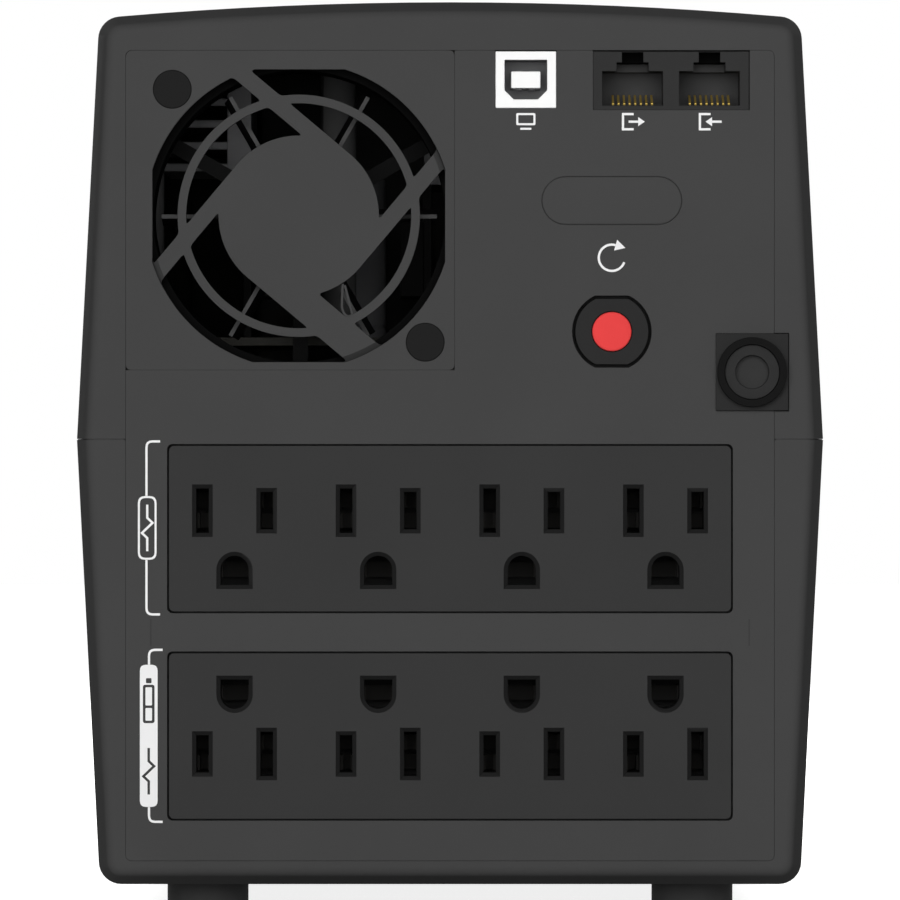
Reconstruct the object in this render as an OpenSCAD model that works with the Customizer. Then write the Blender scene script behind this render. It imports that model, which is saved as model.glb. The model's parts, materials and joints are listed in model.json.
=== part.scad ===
// Mini-tower uninterruptible power supply, socket side towards -Y, front towards +Y.
// Origin on the standing surface, under the middle of the case.

/* [Case] */
// Width of the case at its waist
body_w = 147.8; // [132:0.2:170]
// How far each bottom corner draws in from the waist
bottom_in = 4.3; // [1:0.1:6]
// How far each shoulder draws in from the waist
top_in = 4.2; // [1:0.1:6]
// Depth of the case, rear face to front face
body_d = 340; // [306:1:380]
// Height of the case without its feet
body_h = 174.7; // [157:0.1:195]
// Height of the waist seam above the upper bank's window
waist_gap = 0.7; // [0.4:0.1:3]
// Rise of the arched top between the shoulders
arch_rise = 2.8; // [2:0.2:6]
// Radius of the case's long corners
corner_r = 4.5; // [4.2:0.1:6]
// How far the rear and front faces are set in by their sloped and rounded edges
edge_r = 3.8; // [3.4:0.2:4]
// Radius of the round between such a face and the slope beside it
edge_round = 2.3; // [1.5:0.1:2.6]
// Steepness of the slope
edge_slope = 68; // [60:1:72]
// Wall thickness of both shells
wall = 2.5; // [2:0.1:3]
// Thickness of the rim around the rear panel
rear_wall = 2.4; // [2:0.1:3]
// Depth of the front panel's cap
front_d = 20; // [18:0.5:24]
// Open seam between the two shells
seam = 0.2; // [0.1:0.05:0.4]

/* [Feet and case screws] */
// Height of the feet below the case
foot_h = 6.5; // [3:0.5:8]
// Diameter of a foot
foot_dia = 16.2; // [12:0.2:20]
// Distance of a foot's middle from the case's bottom corner
foot_side = 21.2; // [18:0.2:30]
// Distance of the feet from the rear and front faces
foot_inset = 30; // [20:1:60]
// Diameter of the columns that the case screws run in
column_dia = 8; // [7:0.2:8.4]
// Distance of a column's middle from the case's bottom corner
column_side = 8.3; // [8:0.1:10]
// Shank diameter of the case screws
screw_dia = 2.6; // [2:0.1:3]

/* [Rear panel] */
// Width of the rim beside the rear panel, at the waist
panel_side = 10; // [9.5:0.1:14]
// Height of the rim above the rear panel, at the middle
panel_high = 9.9; // [9.8:0.1:14]
// Height of the rear panel's lower edge above the case's bottom
panel_low = 5; // [4.8:0.1:6]
// How far the panel's backing reaches behind the rim
panel_lip = 2; // [1:0.1:2.2]
// Thickness of the panel's backing
lip_t = 2; // [1.5:0.1:3]
// Hairline gap around the panel
panel_gap = 0.25; // [0.1:0.05:0.5]

/* [Fan] */
// Distance of the fan's axis from the panel's left edge
fan_side = 34; // [33:0.1:35]
// Distance of the fan's axis from the panel's top edge
fan_down = 32.5; // [31.5:0.1:33.5]
// Width of the grille plate in the panel's corner
grille_w = 64.7; // [63:0.1:68]
// Height of the grille plate
grille_h = 62.9; // [62:0.1:66]
// Diameter of the round grille opening
opening_dia = 60.8; // [58:0.2:62]
// Width of the square that trims the opening
opening_w = 58; // [54:0.2:60]
// Diameter of the grille's middle disc
disc_dia = 31.6; // [28:0.2:36]
// Mean diameter of the grille's ring
ring_dia = 46.2; // [42:0.2:52]
// Width of the grille's ring
ring_w = 1.6; // [1:0.1:3]
// Width of a narrow grille arm
arm_w = 3.15; // [2:0.05:4]
// Width of the broad grille arm over the fan's leads
broad_arm_w = 6.4; // [5:0.1:12]
// Length of the slope at an arm's outer end
arm_slope = 1.2; // [0.6:0.1:1.6]
// Depth of that slope
arm_dip = 1.6; // [0.8:0.1:1.8]
// Side of the square fan frame
fan_size = 60; // [59:0.5:60]
// Thickness of the fan frame
fan_t = 25; // [22:0.5:27]
// Spacing of the fan's corner holes
fan_pitch = 50; // [49:0.1:50.5]
// Diameter over the fan blades
blade_dia = 54.8; // [50:0.2:56]
// Number of fan blades
blade_n = 6; // [5:1:9]
// Thickness of a fan blade
blade_t = 0.8; // [0.6:0.1:1.4]
// Tilt of a fan blade
blade_pitch = 6; // [4:1:20]
// Diameter of the fan hub
hub_dia = 31; // [30:0.2:32]
// Diameter of the fan shaft
shaft_dia = 3; // [2:0.1:3.4]
// Diameter of a rivet head
rivet_head = 7.6; // [6:0.1:8]

/* [Sockets] */
// Distance of a bank's window from the panel's side edge
bank_side = 7.85; // [7.5:0.05:10]
// Height of a socket bank's window
bank_h = 33.7; // [33:0.1:34.5]
// Parts of the free height that lie below the lower bank
low_part = 7.6; // [5:0.1:10]
// Parts of the free height that lie between the banks
mid_part = 7.3; // [5:0.1:10]
// Parts of the free height that lie between the upper bank and the fan
high_part = 14.6; // [10:0.1:18]
// Gap around a bank's face
bank_gap = 0.5; // [0.3:0.05:0.8]
// Depth of a socket bank behind the panel's face
bank_d = 26; // [24:0.5:30]
// Spacing of the sockets
socket_pitch = 28.4; // [26:0.1:28.6]
// Spacing of the two blade slots
slot_pitch = 12.7; // [12:0.1:13.4]
// Height of the blade slots above the bank's middle
slot_rise = 3.55; // [3:0.05:4]
// Drop of the earth hole below the bank's middle
earth_drop = 8.25; // [8:0.05:8.8]

/* [Ports] */
// Place of the USB socket between the fan's plate and the jack, from 0 to 1
usb_place = 0.516; // [0.48:0.004:0.52]
// Width of the USB socket's face
usb_w = 12; // [11.8:0.1:13]
// Height of the USB socket's face
usb_h = 11.2; // [11:0.1:12]
// Distance of the double network jack from the panel's right edge
jack_side = 4.8; // [4:0.1:5]
// Width of the double network jack
jack_w = 30.8; // [30:0.1:33]
// Height of the double network jack
jack_h = 11.6; // [11.4:0.1:13]
// Spacing of the two jack cavities
jack_pitch = 15.2; // [14.6:0.1:15.6]
// How far the port blank and the breaker lie left of the jack's middle
blank_side = 11.7; // [8:0.1:14]
// Distance of the port blank from the panel's top edge
blank_down = 29.5; // [26:0.1:32]
// Width of the port blank
blank_w = 27.7; // [22:0.1:32]
// Height of the port blank
blank_h = 9.5; // [7:0.1:12]

/* [Breaker and cord gland] */
// Distance of the breaker's axis from the panel's top edge
breaker_down = 55.4; // [53:0.1:57]
// Diameter of the breaker's round neck
neck_dia = 14.5; // [13:0.1:16]
// Distance between the neck's two flats
neck_flats = 13; // [11:0.1:14]
// Gap between the neck and the panel
neck_gap = 0.75; // [0.2:0.05:0.8]
// Diameter of the reset button
reset_dia = 7.8; // [6:0.1:8.2]
// How far the reset button jumps out when the breaker trips
reset_travel = 4; // [2:0.5:5]
// Distance of the cord gland's middle from the panel's right edge
gland_side = 4.2; // [4:0.1:5.4]
// Height of the cord gland's middle above the waist seam
gland_rise = 13.4; // [12:0.1:16]
// Width of the cord gland
gland_w = 14.3; // [14:0.1:14.6]
// Height of the cord gland
gland_h = 15.2; // [14.2:0.1:16]
// How far the gland's collar stands out from the panel
gland_out = 3; // [2:0.5:6]
// Outer diameter of the gland's collar
collar_dia = 13.7; // [13:0.1:14]
// Inner diameter of the gland's collar
collar_bore = 10.9; // [9:0.1:11.4]
// Diameter of the cord that the gland takes
cord_dia = 6.4; // [5:0.1:7.5]

/* [Front] */
// Width of the display window
lens_w = 62; // [50:1:80]
// Height of the display window
lens_h = 44; // [40:1:50]
// Distance of the display window's middle from the case's top
lens_down = 49; // [44:1:54]
// Diameter of the power button
power_dia = 18; // [14:0.5:22]
// Distance of the power button from the display window's middle
power_down = 46; // [42:1:50]
// Travel of the power button
power_travel = 1.5; // [1:0.1:2]

/* [Power parts] */
// Distance of the transformer's lamination stack from the case's bottom corner
core_side = 21.3; // [20.5:0.1:30]
// Height of the lamination stack
core_h = 80; // [72:1:84]
// Thickness of the lamination stack
core_t = 48; // [40:1:54]
// Height of the main board above the batteries
board_rise = 10.3; // [9:0.1:12]
// Gap between the main board and the batteries
board_gap = 4.5; // [4:0.1:8]
// Spacing of the fins
fin_pitch = 4.4; // [4:0.1:4.6]

/* [Batteries] */
// Room beside the batteries, at the case's bottom
battery_side = 1.3; // [0.8:0.1:4]
// Length of one battery
battery_d = 151; // [140:0.5:152]
// Height of one battery
battery_h = 94; // [86:0.5:95]
// Gap between the two batteries
battery_gap = 1; // [0.4:0.1:1.4]

/* [Hidden] */
$fn = 64;
eps = 0.01;
fit = 0.1;
snug = 0.02;
running = 0.03;
round_steps = 6;
overall_d = body_d + gland_out;
rear_y = gland_out - overall_d / 2;
shell_d = body_d - front_d;
bottom_w = body_w - 2 * bottom_in;
top_w = body_w - 2 * top_in;
floor_z = foot_h + wall;
top_z = foot_h + body_h;
shoulder_z = top_z - arch_rise;

// Rear panel and what shares its height: two banks, the fan's plate and the free room between them
panel_w = body_w - 2 * panel_side;
panel_h = body_h - panel_low - panel_high;
panel_z = foot_h + panel_low;
panel_top = panel_z + panel_h;
panel_right = panel_w / 2;
free_part = (panel_h - 2 * bank_h - grille_h) / (low_part + mid_part + high_part);
bank_low_z = panel_z + low_part * free_part + bank_h / 2;
bank_high_z = bank_low_z + bank_h + mid_part * free_part;
waist_z = bank_high_z + bank_h / 2 + waist_gap;

// Outline of the case in x and z, drawn from three corner arcs a side and the arched top
low_c = [bottom_w / 2 - corner_r, foot_h + corner_r];
waist_c = [body_w / 2 - corner_r, waist_z];
high_c = [top_w / 2 - corner_r, shoulder_z - corner_r];
arch_k = arch_rise + corner_r;
arch_r = (pow(high_c.x, 2) + pow(arch_k, 2) - pow(corner_r, 2)) / (2 * arch_rise);
arch_z = top_z - arch_r;
low_tilt = atan2(low_c.x - waist_c.x, waist_c.y - low_c.y);
high_tilt = atan2(waist_c.x - high_c.x, high_c.y - waist_c.y);
arch_tilt = atan2(high_c.y - arch_z, high_c.x);

function arc(c, r, a0, a1, n, first = 0) =
    [for (i = [first:n]) let (a = a0 + (a1 - a0) * i / n) [c.x + r * cos(a), c.y + r * sin(a)]];
function half_outline(inset) = concat(
    arc(low_c, corner_r - inset, -90, low_tilt, 8),
    arc(waist_c, corner_r - inset, low_tilt, high_tilt, 2),
    arc(high_c, corner_r - inset, high_tilt, arch_tilt, 8),
    arc([0, arch_z], arch_r - inset, arch_tilt, 90, 8, 1));
function outline(inset) = let (right = half_outline(inset))
    concat(right, [for (i = [len(right) - 2:-1:0]) [-right[i].x, right[i].y]]);
function roof_z(x) = arch_z + sqrt(pow(arch_r - wall, 2) - x * x);
function half_w(z) = lookup(z, [[low_c.y, bottom_w / 2], [waist_z, body_w / 2], [high_c.y, top_w / 2]]);
function deep(d) = rear_y + d;

// Stack of layers behind the rear face
face_t = rear_wall + fit;
panel_back = face_t + lip_t;
rib_d = panel_back + fit;
rib_t = 1.5;

// Case screws
column_r = column_dia / 2;
column_d = [36, shell_d - 9.5];
screw_head_r = screw_dia / 2 + 1.3;
screw_head_h = 2.2;
screw_ledge = 6;
screw_bite = 10;
column_x = bottom_w / 2 - column_side;
column_places = [for (s = [-1, 1], d = column_d) [s * column_x, d]];
tongue_in = 60;
tongue_t = 1.2;
tongue_h = 6;

// Fan
fan_x = fan_side - panel_right;
fan_z = panel_top - fan_down;
rivet_r = 1.9;
rivet_places = [[-1, 1], [1, -1]] * fan_pitch / 2;
fan_d0 = panel_back + fit;
fan_flange = 3.5;
fan_bore_r = blade_dia / 2 + 1.5;
cup_d0 = fan_d0 + 2;
cup_t = 1.4;
cup_h = 15;
cup_wall = 1.4;
barrel_t = 1.6;
base_t = 2.5;
base_r = hub_dia / 2 - 0.5;
tube_r = shaft_dia / 2 + 2.3;
bush_r = shaft_dia / 2 + 1.3;
magnet_t = 1.6;
stator_r = hub_dia / 2 - cup_wall - magnet_t - 0.5;

// Socket banks
bank_w = panel_w - 2 * bank_side;
bank_end = 4;
socket_n = floor((bank_w - slot_pitch - 2 * bank_end) / socket_pitch) + 1;
slot_w = 2.5;
neutral_h = 8.8;
line_h = 7.4;
earth_w = 5.6;
earth_h = 5.8;
lead_in = 0.8;
lead_d = 0.9;
face_w = bank_w - 2 * bank_gap;
face_h = bank_h - 2 * bank_gap;
face_recess = 0.3;
bank_flange = 2.4;
bank_ear = 3.6;
pocket_d = 14;
pocket_wall = 2;
cover_t = 2;
strip_t = 0.8;
strip_w = 3;
bank_screw_x = face_w / 2 + bank_ear / 2;
bank_screw_r = 1;

// Ports and their board
port_gap = 0.2;
jack_x = panel_right - jack_side - jack_w / 2;
plate_right = grille_w - panel_right;
usb_x = plate_right + usb_place * (jack_x - jack_w / 2 - plate_right);
usb_z = panel_top - usb_h / 2;
usb_d = 16;
usb_out = 0.3;
blank_x = jack_x - blank_side;
blank_z = panel_top - blank_down;
jack_z = panel_top - jack_h / 2;
jack_d = 18;
jack_hole_w = 12;
jack_hole_h = 6.8;
jack_hole_low = 0.9;
jack_hole_d = 14;
step_w = 6.3;
step_h = 1.7;
latch_w = 4.2;
port_board_t = 1.6;
port_board_top = min(usb_z - usb_h / 2, jack_z - jack_h / 2);
port_board_d = [panel_back + 0.5, 30];
port_post_x = [usb_x - 5, jack_x + 12];
port_post_d = 25;
port_bite = 6;

// Breaker
breaker_z = panel_top - breaker_down;
breaker_x = blank_x;
breaker_recess = 0.3;
breaker_body_w = 16;
breaker_body_h = 14;
breaker_d = 34;
reset_fit = 0.1;
reset_collar_r = reset_dia / 2 + 1;
reset_collar_t = 3;
reset_collar_d = 6;

// Cord gland
gland_x = panel_right - gland_side;
gland_z = waist_z + gland_rise;
gland_gap = 0.15;
gland_proud = 1;
gland_d = 9;
bush_web = 1.5;
cord_seat = 2;

// Front
skirt_t = 1.4;
skirt_d = 5;
lens_t = 2;
lens_recess = 0.2;
lens_ledge = 3;
lens_d = body_d - lens_t - lens_recess;
lens_z = top_z - lens_down;
power_z = lens_z - power_down;
power_flange = 1.5;
power_flange_t = 1.5;
front_wall = 3;
display_d = body_d - front_wall - 10;
display_board_t = 1.6;
display_side = 5;
display_edge = 6;
display_low = 18;
display_high = 8;
front_slot = [84, 3];
display_half = max(lens_w / 2, power_dia / 2 + 6);

// Batteries
battery_front = 14.5;
battery_w = bottom_w / 2 - wall - battery_side - battery_gap / 2;
battery_d0 = shell_d - battery_front - battery_d;
battery_z = floor_z + 0.2;
battery_top = battery_z + battery_h;
battery_x = (battery_w + battery_gap) / 2;
tab_h = 6;
pad_t = 2;
stay_t = 2.5;
stay_w = 80;
stay_z = battery_top + pad_t;
stay_top = roof_z(stay_w / 2) + wall / 2;
stay_in = [36, 45];
stay_d = [battery_d0 + stay_in[0], battery_d0 + battery_d - stay_in[1]];
fence_t = 2;
fence_h = 24;
fence_gap = 0.4;
lead_r = 1.6;

// Power parts
core_w = bottom_w - 2 * core_side;
core_d = (bank_d + cover_t + battery_d0) / 2;
core_z = floor_z + 2;
plinth_z = foot_h + 1;
plinth_t = 6;
plinth_d = [core_d - 17, core_d + 11];
tongue = core_w / 3;
yoke = core_w / 6;
window_h = core_h - 2 * yoke;
bobbin_t = 1.3;
bobbin_fit = 0.2;
coil_out = yoke - 0.8;
bracket_t = 1.5;
bracket_d = 36;
bracket_foot = 11;
bolt_r = 2;
bracket_places = [for (s = [-1, 1]) [s * (core_w / 2 + bracket_t + bracket_foot / 2 + fit), core_d]];
board_z = battery_top + board_rise;
board_t = 1.6;
board_d0 = 42;
board_d = battery_d0 - board_gap - board_d0;
board_top = board_z + board_t;
board_half = half_w(board_z) - wall - 6;
post_r = 3.4;
post_x = board_half - 5;
post_in = 8;
board_bite = 7;
post_places = [for (s = [-1, 1], d = [board_d0 + post_in, board_d0 + board_d - post_in]) [s * post_x, d]];
sink_base_t = 5;
sink_web_t = 1.6;
sink_fin_n = 5;
sink_fin_w = 13;
sink_fin_t = 1.7;
sink_room = 6;
sink_side = 24.4;
sink_gap = 34.7;
sink_end = 30;
sink_x = sink_side - board_half;
sink_right_x = sink_x + sink_gap;
fin_n = floor((roof_z(sink_x - sink_base_t - sink_fin_w) - board_top - sink_room) / fin_pitch);
sink_h = fin_n * fin_pitch;
sink_d0 = board_d0 + post_in;
hold_x = sink_x + 17.5;
hold_d = board_d0 + 5;
hold_r = 3.6;
hold_gap = 0.3;
sink_len = board_d - post_in - sink_end;

// Shared shapes

// A flat shape drawn in x and z, made solid from y0 over a length
module along_y(y0, length) {
    translate([0, y0 + length, 0]) rotate([90, 0, 0]) linear_extrude(length) children();
}

// A round bar along y
module rod_y(x, z, r, y0, length) {
    translate([x, y0, z]) rotate([-90, 0, 0]) cylinder(r = r, h = length);
}

// A box given by its middle in x and z, and its start and length in y
module block(x, z, w, h, y0, length) {
    translate([x - w / 2, y0, z - h / 2]) cube([w, length, h]);
}

module round_rect(w, h, r) {
    polygon(concat(
        arc([w / 2 - r, r - h / 2], r, -90, 0, 6),
        arc([w / 2 - r, h / 2 - r], r, 0, 90, 6),
        arc([r - w / 2, h / 2 - r], r, 90, 180, 6),
        arc([r - w / 2, r - h / 2], r, 180, 270, 6)));
}

// Flat-sided round: a circle cut by two level flats
module double_d(dia, flats) {
    intersection() {
        circle(d = dia);
        square([dia + 2, flats], center = true);
    }
}

// Earth hole: round at the top, flat at the bottom
module earth_hole(w, h) {
    translate([-w / 2, -h / 2]) square([w, h - w / 2]);
    translate([0, h / 2 - w / 2]) circle(d = w);
}

// Closed solid through rings of the case's outline, each ring a depth and an inset
module case_loft(rings) {
    n = len(outline(0));
    last = (len(rings) - 1) * n;
    points = [for (g = rings) for (p = outline(g[1])) [p.x, deep(g[0]), p.y]];
    sides = [for (i = [0:len(rings) - 2], k = [0:n - 1]) let (a = i * n + k, b = i * n + (k + 1) % n)
        [a, b, b + n, a + n]];
    polyhedron(points, concat([[for (k = [n - 1:-1:0]) k]], [[for (k = [0:n - 1]) last + k]], sides));
}

// Edge as steps of depth and inset, from the end face inwards: a round, then a steep slope
edge_steps = concat(
    [for (i = [0:round_steps]) let (a = edge_slope * i / round_steps)
        [edge_round * (1 - cos(a)), edge_r - edge_round * sin(a)]],
    [[edge_round * (1 - cos(edge_slope)) + (edge_r - edge_round * sin(edge_slope)) * tan(edge_slope), 0]]);

module at_fan(d) {
    translate([fan_x, deep(d), fan_z]) rotate([-90, 0, 0]) children();
}

// Round tube swept along a route of points, with eight sides
function unit(v) = v / norm(v);
function tangent(p, i) = unit(p[min(i + 1, len(p) - 1)] - p[max(i - 1, 0)]);
function side_of(t) = unit(cross(t, abs(t.z) > 0.9 ? [1, 0, 0] : [0, 0, 1]));
module swept(p, r) {
    n = 8;
    rings = [for (i = [0:len(p) - 1]) let (t = tangent(p, i), u = side_of(t), v = cross(t, u))
        for (k = [0:n - 1]) p[i] + r * (cos(360 * k / n) * u + sin(360 * k / n) * v)];
    last = (len(p) - 1) * n;
    sides = [for (i = [0:len(p) - 2], k = [0:n - 1]) let (a = i * n + k, b = i * n + (k + 1) % n)
        each [[a, b, b + n], [a, b + n, a + n]]];
    ends = [for (k = [1:n - 2]) each [[0, k + 1, k], [last, last + k, last + k + 1]]];
    polyhedron(rings, [for (f = concat(sides, ends)) [f[2], f[1], f[0]]]);
}

// Case

module rear_window(gap) {
    translate([0, panel_z + panel_h / 2]) round_rect(panel_w + 2 * gap, panel_h + 2 * gap, 1.2);
}

module gland_window(extra) {
    translate([gland_x, gland_z]) square([gland_w + 2 * extra, gland_h + 2 * extra], center = true);
}

// Both shells in one, before they part at the waist
module shell_pair() {
    difference() {
        case_loft(concat(edge_steps, [[shell_d, 0]]));
        along_y(deep(rear_wall), shell_d) polygon(outline(wall));
        along_y(deep(-1), rear_wall + 2) rear_window(panel_gap);
    }
    along_y(deep(rib_d), rib_t) difference() {
        polygon(outline(wall - fit));
        rear_window(panel_gap);
    }
}

module slab(z0, z1) {
    translate([-body_w, deep(-gland_out), z0]) cube([2 * body_w, overall_d, z1 - z0]);
}

module column(place, z0, z1, r) {
    translate([place.x, deep(place.y), z0]) cylinder(r = r, h = z1 - z0);
}

vent_n = 10;
vent_pitch = 7;
vent_w = 3;
vent_h = 28;
vent_d0 = 58;
vent_z = waist_z + 30;
module side_vents() {
    for (s = [-1, 1], i = [0:vent_n - 1])
        block(s * body_w / 2, vent_z, 12, vent_h, deep(vent_d0 + i * vent_pitch), vent_w);
}

// Lip within the walls that closes the seam to the eye
lip_in = 0.2;
lip_gap = 0.04;
lip_back = 0.3;
module seam_lip() intersection() {
    difference() {
        case_loft(concat([for (e = edge_steps) e + lip_in * [1, 1]], [[shell_d - 1, lip_in]]));
        along_y(deep(rear_wall - lip_back), shell_d) polygon(outline(wall - lip_back));
        along_y(deep(-1), rear_wall + 2) rear_window(panel_gap + lip_back);
    }
    slab(waist_z - lip_in, waist_z + seam - lip_gap);
}

module lower_shell() color([0.16, 0.16, 0.16]) difference() {
    union() {
        intersection() {
            shell_pair();
            slab(0, waist_z);
        }
        seam_lip();
        // Tongue that locates the upper shell, along both sides
        for (s = [-1, 1]) {
            tongue_x = half_w(waist_z) - wall - fit - 2;
            tongue_l = shell_d - 2 * tongue_in;
            block(s * tongue_x, waist_z, tongue_t, tongue_h, deep(tongue_in), tongue_l);
            block(s * (tongue_x + 1.1), waist_z - tongue_h / 3, 3, 2 * tongue_h / 3,
                deep(tongue_in), tongue_l);
        }
        for (p = column_places) column(p, foot_h + 1, waist_z, column_r);
        for (p = post_places) column(p, foot_h + 1, board_z, post_r);
        for (d = plinth_d)
            block(0, (plinth_z + core_z) / 2, core_w - 6, core_z - plinth_z, deep(d), plinth_t);
        for (p = bracket_places) column(p, foot_h + 1, core_z, 4.5);
        for (d = [battery_d0 - fence_gap - fence_t, battery_d0 + battery_d + fence_gap])
            block(0, foot_h + 1 + fence_h / 2, 2 * (low_c.x - 2), fence_h, deep(d), fence_t);
    }
    for (p = column_places) {
        column(p, foot_h - 1, waist_z - screw_ledge, screw_head_r + 0.15);
        column(p, foot_h, waist_z + 1, screw_dia / 2 + 0.1);
    }
    for (p = post_places) column(p, board_z - board_bite - 2, board_z + 1, screw_dia / 2 + 0.05);
    for (p = bracket_places) column(p, foot_h + 1.5, core_z + 1, bolt_r + 0.05);
    for (p = foot_places) column(p, foot_h - 1, floor_z + 1, foot_peg_r + 0.1);
    along_y(deep(-1), gland_d + 2) gland_window(gland_gap);
}

module upper_shell() color([0.16, 0.16, 0.16]) difference() {
    union() {
        intersection() {
            shell_pair();
            slab(waist_z + seam, top_z + 1);
        }
        for (p = column_places) column(p, waist_z + seam, roof_z(p.x) + wall / 2, column_r);
        for (x = port_post_x) column([x, port_post_d], port_board_top + fit, roof_z(x) + wall / 2, 3);
        column([hold_x, hold_d], board_top + hold_gap, roof_z(hold_x) + wall / 2, hold_r);
        // Stays that hold the batteries down through their pads
        for (d = stay_d) block(0, (stay_z + stay_top) / 2, stay_w, stay_top - stay_z, deep(d), stay_t);
    }
    for (p = column_places) column(p, waist_z, waist_z + screw_bite + 2, screw_dia / 2 + 0.05);
    for (x = port_post_x)
        column([x, port_post_d], port_board_top, port_board_top + port_bite + 2, screw_dia / 2 + 0.05);
    side_vents();
    along_y(deep(-1), gland_d + 2) gland_window(gland_gap);
}

foot_peg_r = 3;
foot_places = [for (s = [-1, 1], d = [foot_inset, shell_d - foot_inset]) [s * (bottom_w / 2 - foot_side), d]];
module feet() color([0.1, 0.1, 0.1]) for (p = foot_places) {
    column(p, 0, foot_h, foot_dia / 2);
    column(p, foot_h - eps, floor_z, foot_peg_r);
}

module case_screws() color("silver") for (p = column_places) {
    ledge = waist_z - screw_ledge;
    column(p, ledge - screw_head_h, ledge, screw_head_r);
    column(p, ledge - eps, waist_z + screw_bite, screw_dia / 2);
}

// Rear panel

module fan_corner(gap) {
    translate([-panel_w / 2 - 1, panel_top - grille_h - gap])
        square([grille_w + gap + 1, grille_h + gap + 1]);
}

// What both layers of the panel let through
module shared_windows() {
    for (z = [bank_high_z, bank_low_z]) translate([0, z]) round_rect(bank_w, bank_h, 1.2);
    translate([blank_x, blank_z])
        round_rect(blank_w + 2 * port_gap, blank_h + 2 * port_gap, blank_h / 2 + port_gap);
    translate([breaker_x, breaker_z]) double_d(neck_dia + 2 * neck_gap, neck_flats + 2 * neck_gap);
    gland_window(gland_gap);
    translate([usb_x, usb_z]) square([usb_w + 2 * port_gap, usb_h + 2 * port_gap], center = true);
    translate([jack_x, jack_z]) square([jack_w + 2 * port_gap, jack_h + 2 * port_gap], center = true);
}

module rear_panel() color([0.275, 0.275, 0.275]) difference() {
    union() {
        along_y(deep(0), face_t) difference() {
            translate([0, panel_z + panel_h / 2]) round_rect(panel_w, panel_h, 1);
            fan_corner(panel_gap);
            shared_windows();
        }
        along_y(deep(face_t - eps), lip_t + eps) difference() {
            translate([0, panel_z + panel_h / 2])
                round_rect(panel_w + 2 * panel_lip, panel_h + 2 * panel_lip, 2);
            translate([fan_x, fan_z]) circle(d = opening_dia + 1);
            shared_windows();
        }
    }
    for (p = rivet_places) rod_y(fan_x + p.x, fan_z + p.y, rivet_r + 0.1, deep(-1), panel_back + 2);
    for (s = [-1, 1], z = [bank_high_z, bank_low_z])
        rod_y(s * bank_screw_x, z, bank_screw_r + 0.05, deep(panel_back - 3), 4);
}

module spider() {
    circle(d = disc_dia);
    difference() {
        circle(d = ring_dia + ring_w);
        circle(d = ring_dia - ring_w);
    }
    for (k = [0:3]) arm(k);
}

// Arms leave the disc at a tangent, one of them broad enough to cover the fan's leads
module arm(k, grow = 0) {
    w = k == 2 ? broad_arm_w : arm_w;
    rotate(50 + 90 * k) translate([disc_dia / 2 - w - grow, 0]) square([w + 2 * grow, opening_dia]);
}

// Slopes that take three of the arms down behind the plate's face at their outer ends
module arm_slopes() intersection() {
    along_y(deep(-1), arm_dip + 2) translate([fan_x, fan_z]) for (k = [1:3]) arm(k, 1);
    difference() {
        rod_y(fan_x, fan_z, opening_dia / 2, deep(-1), arm_dip + 2);
        translate([fan_x, deep(-1), fan_z]) rotate([-90, 0, 0]) cylinder(
            r1 = opening_dia / 2 - arm_slope - arm_slope / arm_dip,
            r2 = opening_dia / 2 + arm_slope / arm_dip,
            h = arm_dip + 2);
    }
}

module fan_grille() color([0.275, 0.275, 0.275]) difference() {
    along_y(deep(0), rear_wall) difference() {
        intersection() {
            rear_window(0);
            translate([-panel_w / 2, panel_top - grille_h]) square([grille_w, grille_h]);
        }
        translate([fan_x, fan_z]) difference() {
            intersection() {
                circle(d = opening_dia);
                square(opening_w, center = true);
            }
            spider();
        }
    }
    arm_slopes();
    for (p = rivet_places) {
        rod_y(fan_x + p.x, fan_z + p.y, rivet_head / 2 + 0.1, deep(-1), 2);
        rod_y(fan_x + p.x, fan_z + p.y, rivet_r + 0.1, deep(0), rear_wall + 1);
    }
}

module fan_rivets() color([0.14, 0.14, 0.14]) for (p = rivet_places) {
    barb = fan_d0 + fan_flange + fit;
    rod_y(fan_x + p.x, fan_z + p.y, rivet_head / 2, deep(0), 1);
    rod_y(fan_x + p.x, fan_z + p.y, rivet_r, deep(0), barb);
    translate([fan_x + p.x, deep(barb), fan_z + p.y]) rotate([-90, 0, 0]) cylinder(r1 = 2.8, r2 = 1.2, h = 2);
}

// Fan

module fan_frame() color([0.08, 0.08, 0.08]) at_fan(fan_d0) {
    difference() {
        union() {
            for (z = [0, fan_t - fan_flange])
                translate([0, 0, z]) linear_extrude(fan_flange) round_rect(fan_size, fan_size, 3.5);
            cylinder(r = fan_bore_r + barrel_t, h = fan_t);
        }
        translate([0, 0, -1]) cylinder(r = fan_bore_r, h = fan_t + 2);
        for (x = [-1, 1], y = [-1, 1])
            translate([x, y, 0] * fan_pitch / 2 - [0, 0, 1]) cylinder(r = rivet_r + 0.25, h = fan_t + 2);
    }
    // Motor base on three stays, with the bearing tube standing on it
    translate([0, 0, fan_t - base_t]) cylinder(r = base_r, h = base_t);
    for (k = [0:2]) rotate(90 + 120 * k) translate([base_r - 2, -1.5, fan_t - base_t + 0.4])
        cube([fan_bore_r + 1 - base_r + 2, 3, base_t - 0.8]);
    translate([0, 0, tube_z0]) difference() {
        cylinder(r = tube_r, h = fan_t - tube_z0 - base_t + eps);
        translate([0, 0, -1]) cylinder(r = bush_r, h = fan_t);
    }
}

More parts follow.
